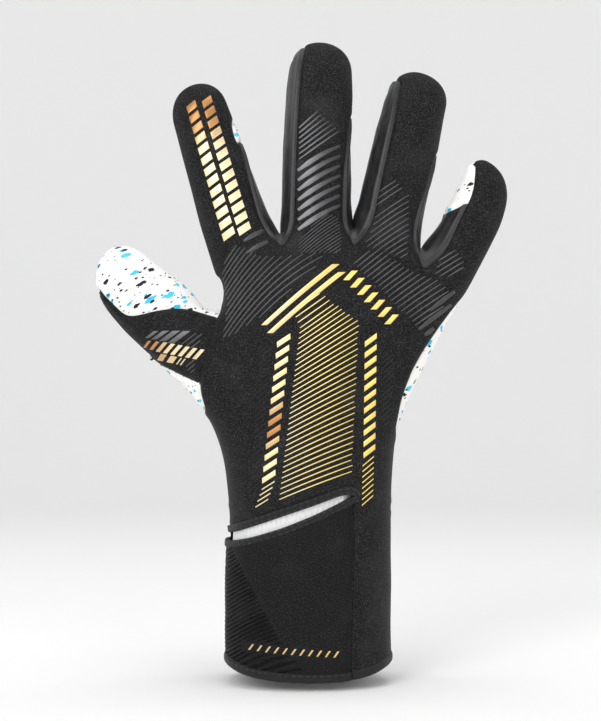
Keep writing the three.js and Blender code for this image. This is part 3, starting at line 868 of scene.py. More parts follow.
KNUCKLE_FROM, KNUCKLE_TO, CREASE_REACH = 1.5, 13.0, 7.0
THUMB_RAMP, THUMB_CUT = 10.0, 21.5
THUMB_SIDE, THUMB_RIGHT, THUMB_BELOW = 22, -36, 200
CUFF_TOP, FINGERS_ABOVE = 66, 160


def groups_of(patch):
    """The moving part that each face belongs to."""
    centres = np.array([patch.flat[list(f)].mean(0) for f in patch.faces])
    which, along = finger_of(centres)
    names = np.where(centres[:, 1] < CUFF_TOP, "cuff", "hand").astype(object)
    for n, name in enumerate(FINGERS):
        digit = DIGITS[name]
        cut = 0.5 * (KNUCKLE_TO + digit.crease - CREASE_REACH)
        mine = (which == n) & (along > KNUCKLE_FROM) & (centres[:, 1] > FINGERS_ABOVE)
        names[mine & (along <= cut)] = name + "_knuckle"
        names[mine & (along > cut)] = name + "_tip"
    s, u = thumb.measure(centres)
    mine = (thumb_reach(centres) > 0) & (u < THUMB_SIDE)
    mine &= (centres[:, 0] < THUMB_RIGHT) & (centres[:, 1] < THUMB_BELOW)
    names[mine & (s <= THUMB_CUT)] = "thumb_knuckle"
    names[mine & (s > THUMB_CUT)] = "thumb_tip"
    return names


def carry(obj, group):
    """Fixes a cuff piece to the cuff's body; any other piece keeps its place, baked into its mesh."""
    if group == "cuff":
        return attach(obj, group)
    if group == "strap_front":
        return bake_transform(obj)
    if group == "strap_wrap":
        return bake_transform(obj)
    if group == "hand":
        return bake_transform(obj)
    name, part = group.rsplit("_", 1)
    digit = DIGITS[name]
    if group == "thumb_knuckle":
        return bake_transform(obj)
    if part == "knuckle":
        ends = [digit.point(s, 0) for s in (KNUCKLE_FROM, KNUCKLE_TO)]
        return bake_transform(obj)
    ends = [digit.point(digit.crease + s, 0) for s in (-CREASE_REACH, CREASE_REACH)]
    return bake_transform(obj)


def place(name, patch, material, slot, replaced=None, padding=None, groups=None):
    """Makes one object per moving part from a patch, or one object for the part that groups names."""
    names = groups_of(patch) if groups is None else np.array([groups] * len(patch.faces), object)
    for group in sorted(set(names)):
        keep = np.flatnonzero(names == group)
        nodes = (replaced or {}).get(group, ())
        obj = new_object(f"{name}_{group}" if groups is None else name, patch, keep, material, nodes)
        carry(obj, group)


# ---------------------------------------------------------------- round the wrist

RING_CENTRE, RING_HALF = 0.85, 35.65


def ring_flat(phi):
    """Where an angle round the wrist falls in the plan: 0 at the little-finger edge, 90 on the back, 180 at
    the thumb's edge and 270 on the palm."""
    return RING_CENTRE + RING_HALF * np.cos(np.radians(phi))


def ring_skin(phi, z):
    """Points on the skin round the wrist, at angles and heights of the same shape."""
    phi, z = np.broadcast_arrays(np.asarray(phi, float), np.asarray(z, float))
    shape = phi.shape
    phi, z = phi.ravel() % 360, z.ravel()
    low = hem_height(phi)
    turn = np.cos(np.radians(phi))
    thumb_half = RING_CENTRE - np.interp(z, WRIST_LEFT[:, 1], WRIST_LEFT[:, 0])
    half = np.where(turn < 0, thumb_half, RING_HALF)
    flat = np.stack([RING_CENTRE + (half - 0.04) * turn, np.maximum(z, low + 0.6)], 1)
    y = np.where(phi <= 180, -BODY.depth(flat, BACK), BODY.depth(flat, PALM))
    return np.stack([RING_CENTRE + half * turn, y, z], 1).reshape(shape + (3,))


def ring_out(phi, z, offset):
    """The same points moved out of the glove."""
    here = ring_skin(phi, z)
    step = ring_skin(np.asarray(phi) + 1.5, z) - ring_skin(np.asarray(phi) - 1.5, z)
    out = unit(np.stack([-step[..., 1], step[..., 0], np.zeros(step.shape[:-1])], -1))
    outward = here - np.array([RING_CENTRE, 0, 0])
    out *= np.where((out * outward).sum(-1, keepdims=True) < 0, -1, 1)
    # Right at the edges the step can be nothing, and the way out is straight from the middle.
    outward[..., 2] = 0
    out = unit(out + 0.002 * outward)
    return here + out * np.asarray(offset, float)[..., None], out


def hem_height(phi):
    """The height of the cuff's lower edge at an angle."""
    return np.interp(ring_flat(phi), HEM_LINE[:, 0], HEM_LINE[:, 1])


def phi_of(x):
    """The angle on the back whose plan place is x."""
    return math.degrees(math.acos(np.clip((x - RING_CENTRE) / RING_HALF, -1, 1)))


def grid_faces(rows, columns, around=False):
    """The quads of a grid of points, closed round its columns if wanted."""
    index = np.arange(rows * columns).reshape(rows, columns)
    if around:
        index = np.hstack([index, index[:, :1]])
    quads = np.stack([index[:-1, :-1], index[:-1, 1:], index[1:, 1:], index[1:, :-1]], -1)
    return quads.reshape(-1, 4)


def shell_faces(rows, columns):
    """The faces of a thin shell: an outer grid, an inner one after it, and the rim between them."""
    count = rows * columns
    index = np.arange(count).reshape(rows, columns)
    faces = grid_faces(rows, columns).tolist()
    faces += [[a + count for a in f[::-1]] for f in faces]
    loop = np.concatenate([index[0, :], index[1:, -1], index[-1, -2::-1], index[-2:0:-1, 0]])
    return faces + [[b, a, a + count, b + count] for a, b in zip(loop, np.roll(loop, -1))]


def facing(patch, outward):
    """Turns a patch's faces so that its normals agree with outward directions."""
    patch.refresh()
    if (patch.normals * outward).sum() < 0:
        patch.faces = [f[::-1] for f in patch.faces]
        patch.refresh()
    return patch


def tape(path, normals, width, thick, corner=3.0, key=0.0):
    """A rounded tape laid along a path. Its width lies on the surface and its thickness along the normals."""
    path, normals = np.asarray(path, float), unit(np.asarray(normals, float))
    ahead, behind = np.vstack([path[1:], path[-1:]]), np.vstack([path[:1], path[:-1]])
    tangent = unit(ahead - behind)
    side = unit(np.cross(tangent, normals))
    up = np.cross(side, tangent)
    angles = np.linspace(0, 2 * math.pi, 20, endpoint=False)
    cos, sin = np.cos(angles), np.sin(angles)
    across = np.sign(cos) * np.abs(cos) ** (2 / corner) * width / 2
    height = np.sign(sin) * np.abs(sin) ** (2 / corner) * thick / 2
    points = path[:, None] + side[:, None] * across[None, :, None] + up[:, None] * height[None, :, None]
    count = len(path)
    faces = [tuple(f) for f in grid_faces(count, len(angles), True)]
    faces += [tuple(range(len(angles)))[::-1], tuple(range((count - 1) * len(angles), count * len(angles)))]
    steps = distances(path)
    cloth = np.zeros(points.shape)
    cloth[..., 0], cloth[..., 1], cloth[..., 2] = steps[:, None], across[None, :], height[None, :] + key
    flat = points[..., [0, 2]].reshape(-1, 2)
    patch = Patch(points.reshape(-1, 3), faces, flat, cloth.reshape(-1, 3))
    centre = np.repeat(path, len(angles), 0)
    return facing(patch, patch.points - centre)


# Each station of a stitch: its share of the length, its thickness and its lift off the cloth.
STITCH_SHAPE = (
    (0.0, 0.12, -0.45), (0.12, 0.62, -0.05), (0.35, 1.0, 0.28),
    (0.65, 1.0, 0.28), (0.88, 0.62, -0.05), (1.0, 0.12, -0.45),
)
THREAD_SHARE = 0.62


def stitches(path, normals, pitch=3.0, length=2.1, thick=0.42, sink=0.0, skip=0.6):
    """A row of thread stitches that lie along a path."""
    path, normals = np.asarray(path, float), unit(np.asarray(normals, float))
    steps = distances(path)

    def at(distance, values):
        return np.array([np.interp(distance, steps, values[:, k]) for k in range(3)])

    points, faces, rounds = [], [], 6
    place = skip
    while place + length < steps[-1]:
        start = len(points)
        for share, size, up in STITCH_SHAPE:
            here = place + share * length
            centre = at(here, path)
            ahead = at(min(here + 0.2, steps[-1]), path) - at(here - 0.2, path)
            normal = at(here, normals)
            tangent = ahead / max(np.linalg.norm(ahead), 1e-9)
            side = np.cross(tangent, normal)
            middle_point = centre + normal * (up * thick + sink)
            for k in range(rounds):
                angle = 2 * math.pi * k / rounds
                around = side * math.cos(angle) + normal * math.sin(angle)
                points.append(middle_point + thick * size * THREAD_SHARE * around)
        for row in range(len(STITCH_SHAPE) - 1):
            for k in range(rounds):
                a, b = start + row * rounds + k, start + row * rounds + (k + 1) % rounds
                faces.append((a, b, b + rounds, a + rounds))
        place += pitch
    points = np.array(points)
    return Patch(points, faces, points[:, [0, 2]]).refresh()


# The strap: two parts of one band, the first sewn to the cuff on the back, the second turned round the
# thumb's edge onto the palm. It lies a little off the cuff, and further where its patches lie under it.
SEAM_ANGLE = phi_of(19.6)
TURN_ANGLE = 167.0
STRAP_END_ANGLE = 318.0
STRAP_THICK = 1.7
STRAP_GRID, STRAP_MIDDLE = 0.55, 35.0


def strap_offset(phi):
    """How far the strap's outer side lies off the skin."""
    lift = -0.55 + 1.35 * smoothstep(phi, SEAM_ANGLE, SEAM_ANGLE + 8)
    return lift + 1.0 * smoothstep(phi, SEAM_ANGLE + 4, SEAM_ANGLE + 60) + 3.9 * smoothstep(phi, 188, 228)


def strap_top(phi):
    """The height of the strap's upper edge, which follows the slit on the back."""
    front = np.interp(ring_flat(phi), SLIT_LOWER[:, 0], SLIT_LOWER[:, 1])
    return np.where(np.asarray(phi) <= 180, front, 61.8 - 1.5 * smoothstep(phi, 180, 240))


DASH_START, DASH_STEP, DASH_COUNT = (-24.5, 18.2), (3.65, -0.25), 11


def dash_height(x):
    """The line of the printed dashes along the strap."""
    return DASH_START[1] + (x - DASH_START[0]) * DASH_STEP[1] / DASH_STEP[0]


RIB_PITCH, WIDE_PITCH, RIB_DEPTH = 1.85, 3.4, 0.95


def rib_relief(x, z):
    """The raised ribs at the thumb's end of the strap: curved grooves that climb to the right."""
    edge = np.interp(z, [4, 8, 23, 56, 62], [2, -1.5, -12.3, -29.6, -33])
    inside_share = smoothstep(edge - x, 0, 1.2)
    climb = z - 0.92 * (x + 36) + 0.0125 * (x + 36) ** 2
    turns = (climb - 6) / np.where(climb > 6, RIB_PITCH, WIDE_PITCH)
    groove = (0.5 + 0.5 * np.cos(2 * math.pi * turns)) ** 2.5
    off_dashes = np.abs(z - dash_height(x))
    groove *= np.where(x > DASH_START[0] - 3, smoothstep(off_dashes, 1.8, 3.2), 1)
    return -RIB_DEPTH * groove * inside_share


def strap_sheet(phi_from, phi_to):
    """A part of the strap as a closed shell."""
    length = distances(ring_skin(np.linspace(phi_from, phi_to, 200), STRAP_MIDDLE))[-1]
    phis = np.linspace(phi_from, phi_to, int(length / STRAP_GRID))
    arcs = distances(ring_skin(phis, STRAP_MIDDLE))
    phis = np.interp(np.linspace(0, arcs[-1], len(phis)), arcs, phis)
    rows = 230 if phi_from < 90 else 70
    share = np.linspace(0, 1, rows)[:, None]
    low, high = hem_height(phis) + 1.0, strap_top(phis) - 0.4
    z = low[None, :] + (high - low)[None, :] * share
    sewn_x = np.interp(z[:, :1], SEAM[:, 1], SEAM[:, 0]) - 0.15
    sewn_phi = np.degrees(np.arccos((sewn_x - RING_CENTRE) / RING_HALF))
    nearby = np.clip((phi_from + 25 - phis[None, :]) / 25, 0, 1) * (phi_from < 90)
    grid = phis[None, :] + (sewn_phi - phi_from) * nearby
    outer, out = ring_out(grid, z, np.broadcast_to(strap_offset(grid), z.shape))
    x = ring_flat(grid)
    relief = np.where(grid <= 181, rib_relief(x, z), 0)
    flatter = 0.25 * folds(outer.reshape(-1, 3), 15, 3).reshape(z.shape)
    top = outer + out * (relief + flatter)[..., None]
    inner = outer - out * STRAP_THICK
    points = np.vstack([top.reshape(-1, 3), inner.reshape(-1, 3)])
    arc = np.broadcast_to(np.linspace(0, arcs[-1], len(phis))[None, :], z.shape)
    cloth = np.stack([arc.ravel(), z.ravel(), np.zeros(z.size)], 1)
    patch = Patch(points, shell_faces(*z.shape), points[:, [0, 2]], np.vstack([cloth, cloth + (0, 0, 5)]))
    return facing(patch, np.vstack([out.reshape(-1, 3), -out.reshape(-1, 3)]))


def wrist_tape(phis, heights, offset, width, thick):
    centre, out = ring_out(np.asarray(phis), np.asarray(heights), offset)
    return tape(centre, out, width, thick)


strap_front = strap_sheet(SEAM_ANGLE, TURN_ANGLE)
strap_wrap = strap_sheet(TURN_ANGLE, STRAP_END_ANGLE)

TAPE_WIDTH, HEM_WIDTH, END_WIDTH = 3.3, 4.0, 3.4
TURN_SOFTNESS = 1.2
front_angles = np.linspace(SEAM_ANGLE + 2.0, TURN_ANGLE, 70)
wrap_angles = np.linspace(TURN_ANGLE, STRAP_END_ANGLE, 110)
front_tops = strap_top(front_angles)
wrap_tops = strap_top(wrap_angles)


def strap_core(phi):
    """The middle of the strap's thickness."""
    return strap_offset(phi) - 0.5 * STRAP_THICK


# One tape binds the slit's upper edge and the strap's own edge, and turns at the slit's closed end.
upper_flat = SLIT_UPPER[: nearest(SLIT_UPPER, (17.5, 85.5)) + 1]
upper_path, upper_out = BODY.skin_and_normal(upper_flat, BACK)
lower_path, lower_out = ring_out(front_angles, front_tops - 0.3, strap_core(front_angles) + 0.1)
turn_flat = np.array([(17.8, 85.5), (19.6, 85.2), (20.9, 83.9), (21.1, 82.2), (20.0, 80.9)])
turn_path, turn_out = BODY.skin_and_normal(turn_flat, BACK)


def evened(path, normals, spacing=1.0):
    """A path and its normals at even distances."""
    both = even(np.hstack([path, normals]), spacing)
    return both[:, :3], unit(both[:, 3:])


upper_path, upper_out = evened(
    smooth_line(np.vstack([upper_path, turn_path[:4]]), TURN_SOFTNESS),
    smooth_line(np.vstack([upper_out, turn_out[:4]]), TURN_SOFTNESS),
)
slit_binding = tape(upper_path + upper_out * 0.15, upper_out, TAPE_WIDTH, 2.2)
lower_path = np.vstack([turn_path[3:] + turn_out[3:] * 0.3, lower_path])
lower_out = np.vstack([turn_out[3:], lower_out])
lower_path, lower_out = evened(smooth_line(lower_path, TURN_SOFTNESS), smooth_line(lower_out, TURN_SOFTNESS))
front_top_binding = tape(lower_path, lower_out, TAPE_WIDTH - 0.2, STRAP_THICK + 1.0, key=20)
wrap_top_binding = wrist_tape(
    wrap_angles, wrap_tops - 0.3, strap_core(wrap_angles) + 0.1, TAPE_WIDTH - 0.2, STRAP_THICK + 1.0
)
front_hem_binding, wrap_hem_binding = (
    wrist_tape(angles, hem_height(angles) + 1.7, strap_core(angles), HEM_WIDTH, STRAP_THICK + 0.8)
    for angles in (front_angles, wrap_angles)
)
end_heights = np.linspace(hem_height(STRAP_END_ANGLE) + 1.7, strap_top(STRAP_END_ANGLE) - 0.3, 40)
end_offsets = np.full(40, float(strap_core(STRAP_END_ANGLE)) + 0.1)
wrap_end_binding = wrist_tape(
    np.full(40, STRAP_END_ANGLE + 0.6), end_heights, end_offsets, END_WIDTH, STRAP_THICK + 1.0
)
# The cuff's own hem runs from the strap's seam round the little-finger edge to the thumb's edge of the palm.
hem_angles = np.linspace(SEAM_ANGLE + 1.2, -166, 150)
cuff_hem_binding = wrist_tape(
    hem_angles, hem_height(hem_angles % 360) + 1.9, np.full(150, -0.6), HEM_WIDTH, 2.6
)

# Inside the strap: a sleeve of ribbed elastic that goes on into the hand.
SLEEVE_IN = 3.1
SLEEVE_RIBS = 92
SLEEVE_LOW, SLEEVE_TOP = 5.0, 90.0


def sleeve():
    """The ribbed sleeve, which stands out a little where the slit shows it."""
    angles = np.linspace(0, 360, SLEEVE_RIBS * 6, endpoint=False)
    grid, z = np.meshgrid(angles, np.linspace(SLEEVE_LOW, SLEEVE_TOP, 44))
    z = np.maximum(z, hem_height(grid) + 3.0 + 0.01 * z)
    base = 0.35 * np.cos(np.radians(grid * SLEEVE_RIBS))
    tuck = 1.2 * smoothstep(z, 60, 92)
    window = smoothstep(grid, 60, 66) * (1 - smoothstep(grid, 166, 178))
    window *= smoothstep(z, 52, 62) * (1 - smoothstep(z, 87, 92))
    raised = (2.85 - 0.5 * smoothstep(grid, 130, 160)) * window
    points, out = ring_out(grid, z, base - SLEEVE_IN - tuck + raised)
    faces = grid_faces(*grid.shape, True)
    arc = grid / 360 * 210
    cloth = np.stack([arc.ravel(), z.ravel(), np.full(z.size, 3.0)], 1)
    patch = Patch(points.reshape(-1, 3), faces, points.reshape(-1, 3)[:, [0, 2]], cloth)
    return facing(patch, out.reshape(-1, 3))


wrist_sleeve = sleeve()


def patch_pad(phi_from, phi_to, low, high, inner, outer, bumps):
    """A hook or loop patch: a thin pad with a nubbly face."""
    phis = np.linspace(phi_from, phi_to, 90)
    heights = np.linspace(low, high, 100)
    grid, z = np.meshgrid(phis, heights)
    edge_u = np.minimum(grid - phi_from, phi_to - grid) * 0.6
    edge_v = np.minimum(z - low, high - z)
    edge = np.minimum(edge_u, edge_v)
    round_off = smoothstep(edge, 0, 1.0)
    thick = inner + (outer - inner) * (0.25 + 0.75 * round_off)
    nub = 0.22 * bumps * np.cos(grid * 3.3 + 1.2 * np.sin(z)) * np.cos(z * 3.1 + np.sin(grid)) * round_off
    points, out = ring_out(grid, z, thick + nub)
    back_points, _ = ring_out(grid, z, np.full(z.shape, float(inner)))
    both = np.vstack([points.reshape(-1, 3), back_points.reshape(-1, 3)])
    patch = Patch(both, shell_faces(*z.shape), both[:, [0, 2]])
    return facing(patch, np.vstack([out.reshape(-1, 3), -out.reshape(-1, 3)]) * np.sign(outer - inner))


PATCH_MIDDLE = 240
hook_base = float(strap_offset(PATCH_MIDDLE)) - STRAP_THICK - 0.02
loop_patch = patch_pad(218, 266, 15, 55, 0.1, 1.9, 0.5)
hook_patch = patch_pad(222, 262, 17, 51, hook_base, 2.15, 0.8)

# ---------------------------------------------------------------- materials


class Look:
    """A material in the making, with short ways to add shader nodes and to join them."""

    def __init__(self, name):
        self.material = bpy.data.materials.new(name)
        self.material.use_nodes = True
        self.nodes, self.links = self.material.node_tree.nodes, self.material.node_tree.links
        self.shader = self.nodes["Principled BSDF"]

    def give(self, socket, value):
        """Links a socket to another one, or sets its value. A colour needs no alpha."""
        if isinstance(value, bpy.types.NodeSocket):
            self.links.new(value, socket)
        elif socket.type == "RGBA":
            socket.default_value = value + (1,)
        else:
            socket.default_value = value

    def add(self, kind, output, **values):
        """One output of a new node, whose inputs and settings are given by name."""
        node = self.nodes.new("ShaderNode" + kind)
        for key, value in values.items():
            name = key.replace("_", " ")
            if name in node.inputs:
                self.give(node.inputs[name], value)
            else:
                setattr(node, key, value)
        return node.outputs[output]

    def cloth(self, scale=(1, 1, 1), turn=0.0):
        """The cloth coordinates, in millimetres times a scale."""
        vector = self.add("Attribute", "Vector", attribute_name="cloth")
        turned = self.add("Mapping", "Vector", Vector=vector, Rotation=(0, 0, turn))
        return self.add("Mapping", "Vector", Vector=turned, Scale=scale)

    def noise(self, scale, detail, squeeze=(1, 1, 1)):
        return self.add("TexNoise", "Fac", Vector=self.cloth(squeeze), Scale=scale, Detail=detail)

    def cells(self, scale, squeeze=(1, 1, 1), **values):
        return self.add("TexVoronoi", "Distance", Vector=self.cloth(squeeze), Scale=scale, **values)

    def split(self, vector, kind="XYZ"):
        """The three parts of a vector or a colour."""
        node = self.nodes.new("ShaderNodeSeparate" + kind)
        self.give(node.inputs[0], vector)
        return node.outputs

    def maths(self, operation, *values, kind="Math"):
        node = self.nodes.new("ShaderNode" + kind)
        node.operation = operation
        for socket, value in zip(node.inputs, values):
            self.give(socket, value)
        return node.outputs[0]

    def blended(self, share, first, second):
        """A colour between two colours."""
        node = self.nodes.new("ShaderNodeMix")
        node.data_type = "RGBA"
        for number, value in ((0, share), (6, first), (7, second)):
            self.give(node.inputs[number], value)
        return node.outputs[2]

    def ramp(self, value, low, high):
        """0 below low and 1 above high."""
        return self.add(
            "MapRange", "Result", interpolation_type="SMOOTHSTEP", Value=value, From_Min=low, From_Max=high
        )

    def finish(self, height, strength, distance, **values):
        """Bumps the surface by a height, and sets the shader's other inputs."""
        values["Normal"] = self.add("Bump", "Normal", Strength=strength, Distance=distance, Height=height)
        for key, value in values.items():
            self.give(self.shader.inputs[key.replace("_", " ")], value)
        return self.material


def knit(name, colour, speck, weave=(1.55, 1.0, 1.0), roughness=0.62, sheen=0.25, strength=0.35):
    """A close knit: rows of small loops, fine bright specks of yarn and a faint sheen."""
    look = Look(name)
    fibres = look.noise(2.1, 3.0)
    wear = look.noise(0.045, 3.0)
    tone = look.blended(look.maths("MULTIPLY", look.ramp(fibres, 0.52, 0.66), 0.9), colour, speck)
    tone = look.blended(look.maths("MULTIPLY", look.ramp(wear, 0.5, 0.8), 0.3), tone, speck)
    height = look.maths("ADD", look.cells(1.35, weave, Randomness=0.35), look.maths("MULTIPLY", fibres, 0.8))
    return look.finish(
        height, strength, 0.00025, Base_Color=tone, Roughness=roughness, Specular_IOR_Level=0.16,
        Sheen_Weight=sheen, Sheen_Roughness=0.45,
    )


def leather_material():
    look = Look("leather")
    crease = look.noise(0.5, 5.0, (0.5, 1, 1))
    tone = look.blended(look.ramp(crease, 0.35, 0.75), (0.009, 0.009, 0.010), (0.024, 0.024, 0.026))
    rough = look.maths("MULTIPLY_ADD", crease, 0.2, 0.32)
    height = look.maths("ADD", look.maths("MULTIPLY", look.cells(1.5), 0.4), crease)
    return look.finish(height, 0.25, 0.0003, Base_Color=tone, Roughness=rough, Specular_IOR_Level=0.5)


def flecks(look, turn, scale, length, high, low, seed):
    """Long specks: cells of random size, drawn out along one direction."""
    vector = look.cloth((scale / length, scale, scale * 0.7), turn)
    shift = look.maths("ADD", vector, (seed, seed * 1.7, seed * 0.6), kind="VectorMath")
    warp = look.add("TexNoise", "Color", Vector=shift, Scale=2.2, Detail=4.0, Roughness=0.7)
    mixed = look.maths("MULTIPLY_ADD", warp, (0.4, 0.7, 0.0), shift, kind="VectorMath")
    distance = look.add("TexVoronoi", "Distance", Vector=mixed, Scale=1.0)
    random_size, random_hue, _ = look.split(distance.node.outputs["Color"], "Color")
    size = look.maths("MULTIPLY_ADD", random_size, high - low, low)
    return look.ramp(look.maths("SUBTRACT", size, distance), 0.0, 0.03), random_hue


def latex_material():
    """White foam with sky-blue and black flecks, large and small."""
    look = Look("latex")
    tiny = look.noise(2.6, 2.0)
    tone = look.blended(look.ramp(tiny, 0.68, 0.74), (0.93, 0.92, 0.89), (0.50, 0.50, 0.50))
    blue, hue = flecks(look, -0.5, 0.36, 2.7, 0.46, -0.30, 3.1)
    tone = look.blended(blue, tone, look.blended(hue, (0.0, 0.42, 0.72), (0.10, 0.68, 0.93)))
    dark, _ = flecks(look, -0.55, 0.42, 2.8, 0.44, -0.30, 8.4)
    tone = look.blended(dark, tone, (0.012, 0.012, 0.014))
    dark_small, _ = flecks(look, -0.4, 0.75, 2.0, 0.36, -0.32, 21.0)
    tone = look.blended(dark_small, tone, (0.02, 0.02, 0.024))
    height = look.maths("ADD", look.cells(2.4), look.maths("MULTIPLY", tiny, 0.7))
    return look.finish(
        height, 0.3, 0.0003, Base_Color=tone, Roughness=0.72, Specular_IOR_Level=0.3,
        Subsurface_Weight=0.04, Subsurface_Radius=(0.001, 0.001, 0.001),
    )


def woven(name, colour, light, across=1.1, along=1.1, roughness=0.6, sheen=0.15):
    """A tape or elastic: threads over and under each other."""
    look = Look(name)
    first, second = (
        look.add("TexWave", "Fac", Vector=look.cloth(), Scale=scale, Distortion=0.6, Detail=1.0,
                 wave_type="BANDS", bands_direction=direction)
        for scale, direction in ((along, "X"), (across, "Y"))
    )
    fuzz = look.noise(1.8, 5.0)
    tone = look.blended(look.maths("MULTIPLY", look.ramp(fuzz, 0.42, 0.8), 0.8), colour, light)
    height = look.maths("ADD", look.maths("MULTIPLY", first, second), look.maths("MULTIPLY", fuzz, 0.6))
    return look.finish(
        height, 0.4, 0.0003, Base_Color=tone, Roughness=roughness, Specular_IOR_Level=0.35, Sheen_Weight=sheen
    )


def print_parts(look):
    """A print's place in the plan, across and up, and the tone that its stroke was given."""
    return look.split(look.add("Attribute", "Vector", attribute_name="cloth"))


def silicone_material():
    look = Look("silicone")
    smear = look.noise(0.35, 4.0)
    share = look.maths("MULTIPLY_ADD", smear, 0.3, print_parts(look)[2])
    tone = look.blended(look.ramp(share, 0.1, 1.25), (0.022, 0.022, 0.024), (0.23, 0.23, 0.24))
    rough = look.maths("MULTIPLY_ADD", smear, 0.2, 0.22)
    return look.finish(smear, 0.15, 0.0002, Base_Color=tone, Roughness=rough, Specular_IOR_Level=0.5)


def gold_material():
    """Foil print: cream to the thumb's side, brighter yellow to the right, brown where a stroke says so."""
    look = Look("gold_foil")
    across, _, given_tone = print_parts(look)
    uneven = look.noise(0.07, 3.0)
    fine = look.noise(1.1, 4.0)
    right = look.ramp(look.maths("ADD", across, look.maths("MULTIPLY", uneven, 30)), -8, 34)
    brown = look.ramp(look.maths("MULTIPLY_ADD", uneven, 0.5, given_tone), 0.15, 1.15)
    yellow = look.blended(right, (0.92, 0.78, 0.48), (0.93, 0.72, 0.20))
    tone = look.blended(brown, yellow, (0.52, 0.25, 0.085))
    rough = look.maths("MULTIPLY_ADD", fine, 0.25, 0.28)
    return look.finish(fine, 0.2, 0.0002, Base_Color=tone, Metallic=0.75, Roughness=rough)


NEOPRENE = knit("neoprene", (0.0028, 0.0028, 0.0030), (0.052, 0.052, 0.055), sheen=0.04)
LEATHER = leather_material()
LATEX = latex_material()
STRAP = knit(
    "strap_elastic", (0.0024, 0.0024, 0.0026), (0.034, 0.034, 0.036), (1.0, 1.6, 1.0), 0.6, 0.03, 0.3
)
BINDING = woven("binding_tape", (0.0035, 0.0035, 0.0038), (0.018, 0.018, 0.019), sheen=0.05)
SLEEVE = woven("ribbed_sleeve", (0.90, 0.90, 0.91), (0.97, 0.97, 0.97), 1.6, 1.0, 0.8, 0.3)
THREAD = woven("thread", (0.010, 0.010, 0.011), (0.07, 0.07, 0.074), 3.0, 3.0, 0.45, 0.1)
HOOKS = woven("hook_and_loop", (0.008, 0.008, 0.009), (0.05, 0.05, 0.055), 2.0, 2.0, 0.7, 0.3)
SILICONE = silicone_material()
GOLD = gold_material()
PRESSED = knit(
    "pressed_silicone", (0.018, 0.018, 0.020), (0.045, 0.045, 0.048), roughness=0.38, sheen=0.0, strength=0.1
)

# ---------------------------------------------------------------- stitching


def beside(path, normals, sideways, up):
    """A row beside a path, raised off the surface, and its normals."""
    side = unit(np.cross(unit(np.gradient(path, axis=0)), normals))
    return path + side * sideways + normals * up, normals


front_hem_path, front_hem_out = ring_out(
    front_angles, hem_height(front_angles) + 1.7, strap_offset(front_angles) + 0.6
)
seam_path, seam_out = BODY.skin_and_normal(SEAM[3:-3], BACK)
ON_STRAP = 0.5 * STRAP_THICK + 0.42
STITCH_ROWS = [
    (
        "strap_front_stitches",
        [stitches(*beside(lower_path, lower_out, side, ON_STRAP)) for side in (-0.9, 0.9)]
        + [stitches(front_hem_path + (0, 0, 1.2), front_hem_out)],
        "strap_front",
    ),
    ("seam_stitches", [stitches(seam_path, seam_out, 2.6, 1.7, 0.4, -0.55)], "cuff"),
    (
        "slit_stitches",
        [stitches(*beside(upper_path, upper_out, side, 1.28)) for side in (-0.95, 0.95)],
        "hand",
    ),
]

# ---------------------------------------------------------------- printed silicone and foil

FOIL_HEIGHT = 0.16
PROFILE_ACROSS = np.array([-1.0, -0.78, 0.0, 0.78, 1.0])
PROFILE_HEIGHT = np.array([-0.25, 0.85, 1.0, 0.85, -0.25])


def stroke(path, width, height=0.3, slant=None, tone=0.0, spacing=1.3):
    """A raised line or bar along a plan path. Its ends are square, or follow the direction slant."""
    path = even(path, spacing)
    if len(path) < 3:
        path = even(path, np.linalg.norm(path[-1] - path[0]) / 2.01)
    tangent = unit(np.gradient(path, axis=0))
    normal = np.stack([-tangent[:, 1], tangent[:, 0]], 1)
    if slant is None:
        side = normal
    else:
        way = np.array([math.cos(math.radians(slant)), math.sin(math.radians(slant))])
        lean = (way * normal).sum(1, keepdims=True)
        side = way / np.where(np.abs(lean) < 0.25, 0.25, lean)
    width = np.interp(np.linspace(0, 1, len(path)), np.linspace(0, 1, np.size(width)), np.atleast_1d(width))
    ends = np.concatenate([[0], np.ones(len(path)), [0]])
    path = np.vstack([path[:1], path, path[-1:]])
    side, width = np.vstack([side[:1], side, side[-1:]]), np.concatenate([width[:1], width, width[-1:]])
    path[1] += 0.12 * tangent[0]
    path[-2] -= 0.12 * tangent[-1]
    tone = np.interp(np.linspace(0, 1, len(path)), np.linspace(0, 1, np.size(tone)), np.atleast_1d(tone))
    flat = path[:, None, :] + side[:, None, :] * (PROFILE_ACROSS[None, :, None] * width[:, None, None] / 2)
    lift = np.where(ends[:, None] > 0, PROFILE_HEIGHT[None, :], -0.25) * height
    return flat, lift, tone


def bar(x, z, reach, rise, width, slant, tone=0.0):
    """A short bar of foil, from reach and rise before its middle to as much after it."""
    return stroke([(x - reach, z - rise), (x + reach, z + rise)], width, FOIL_HEIGHT, slant, tone)


GRAZING = 0.12


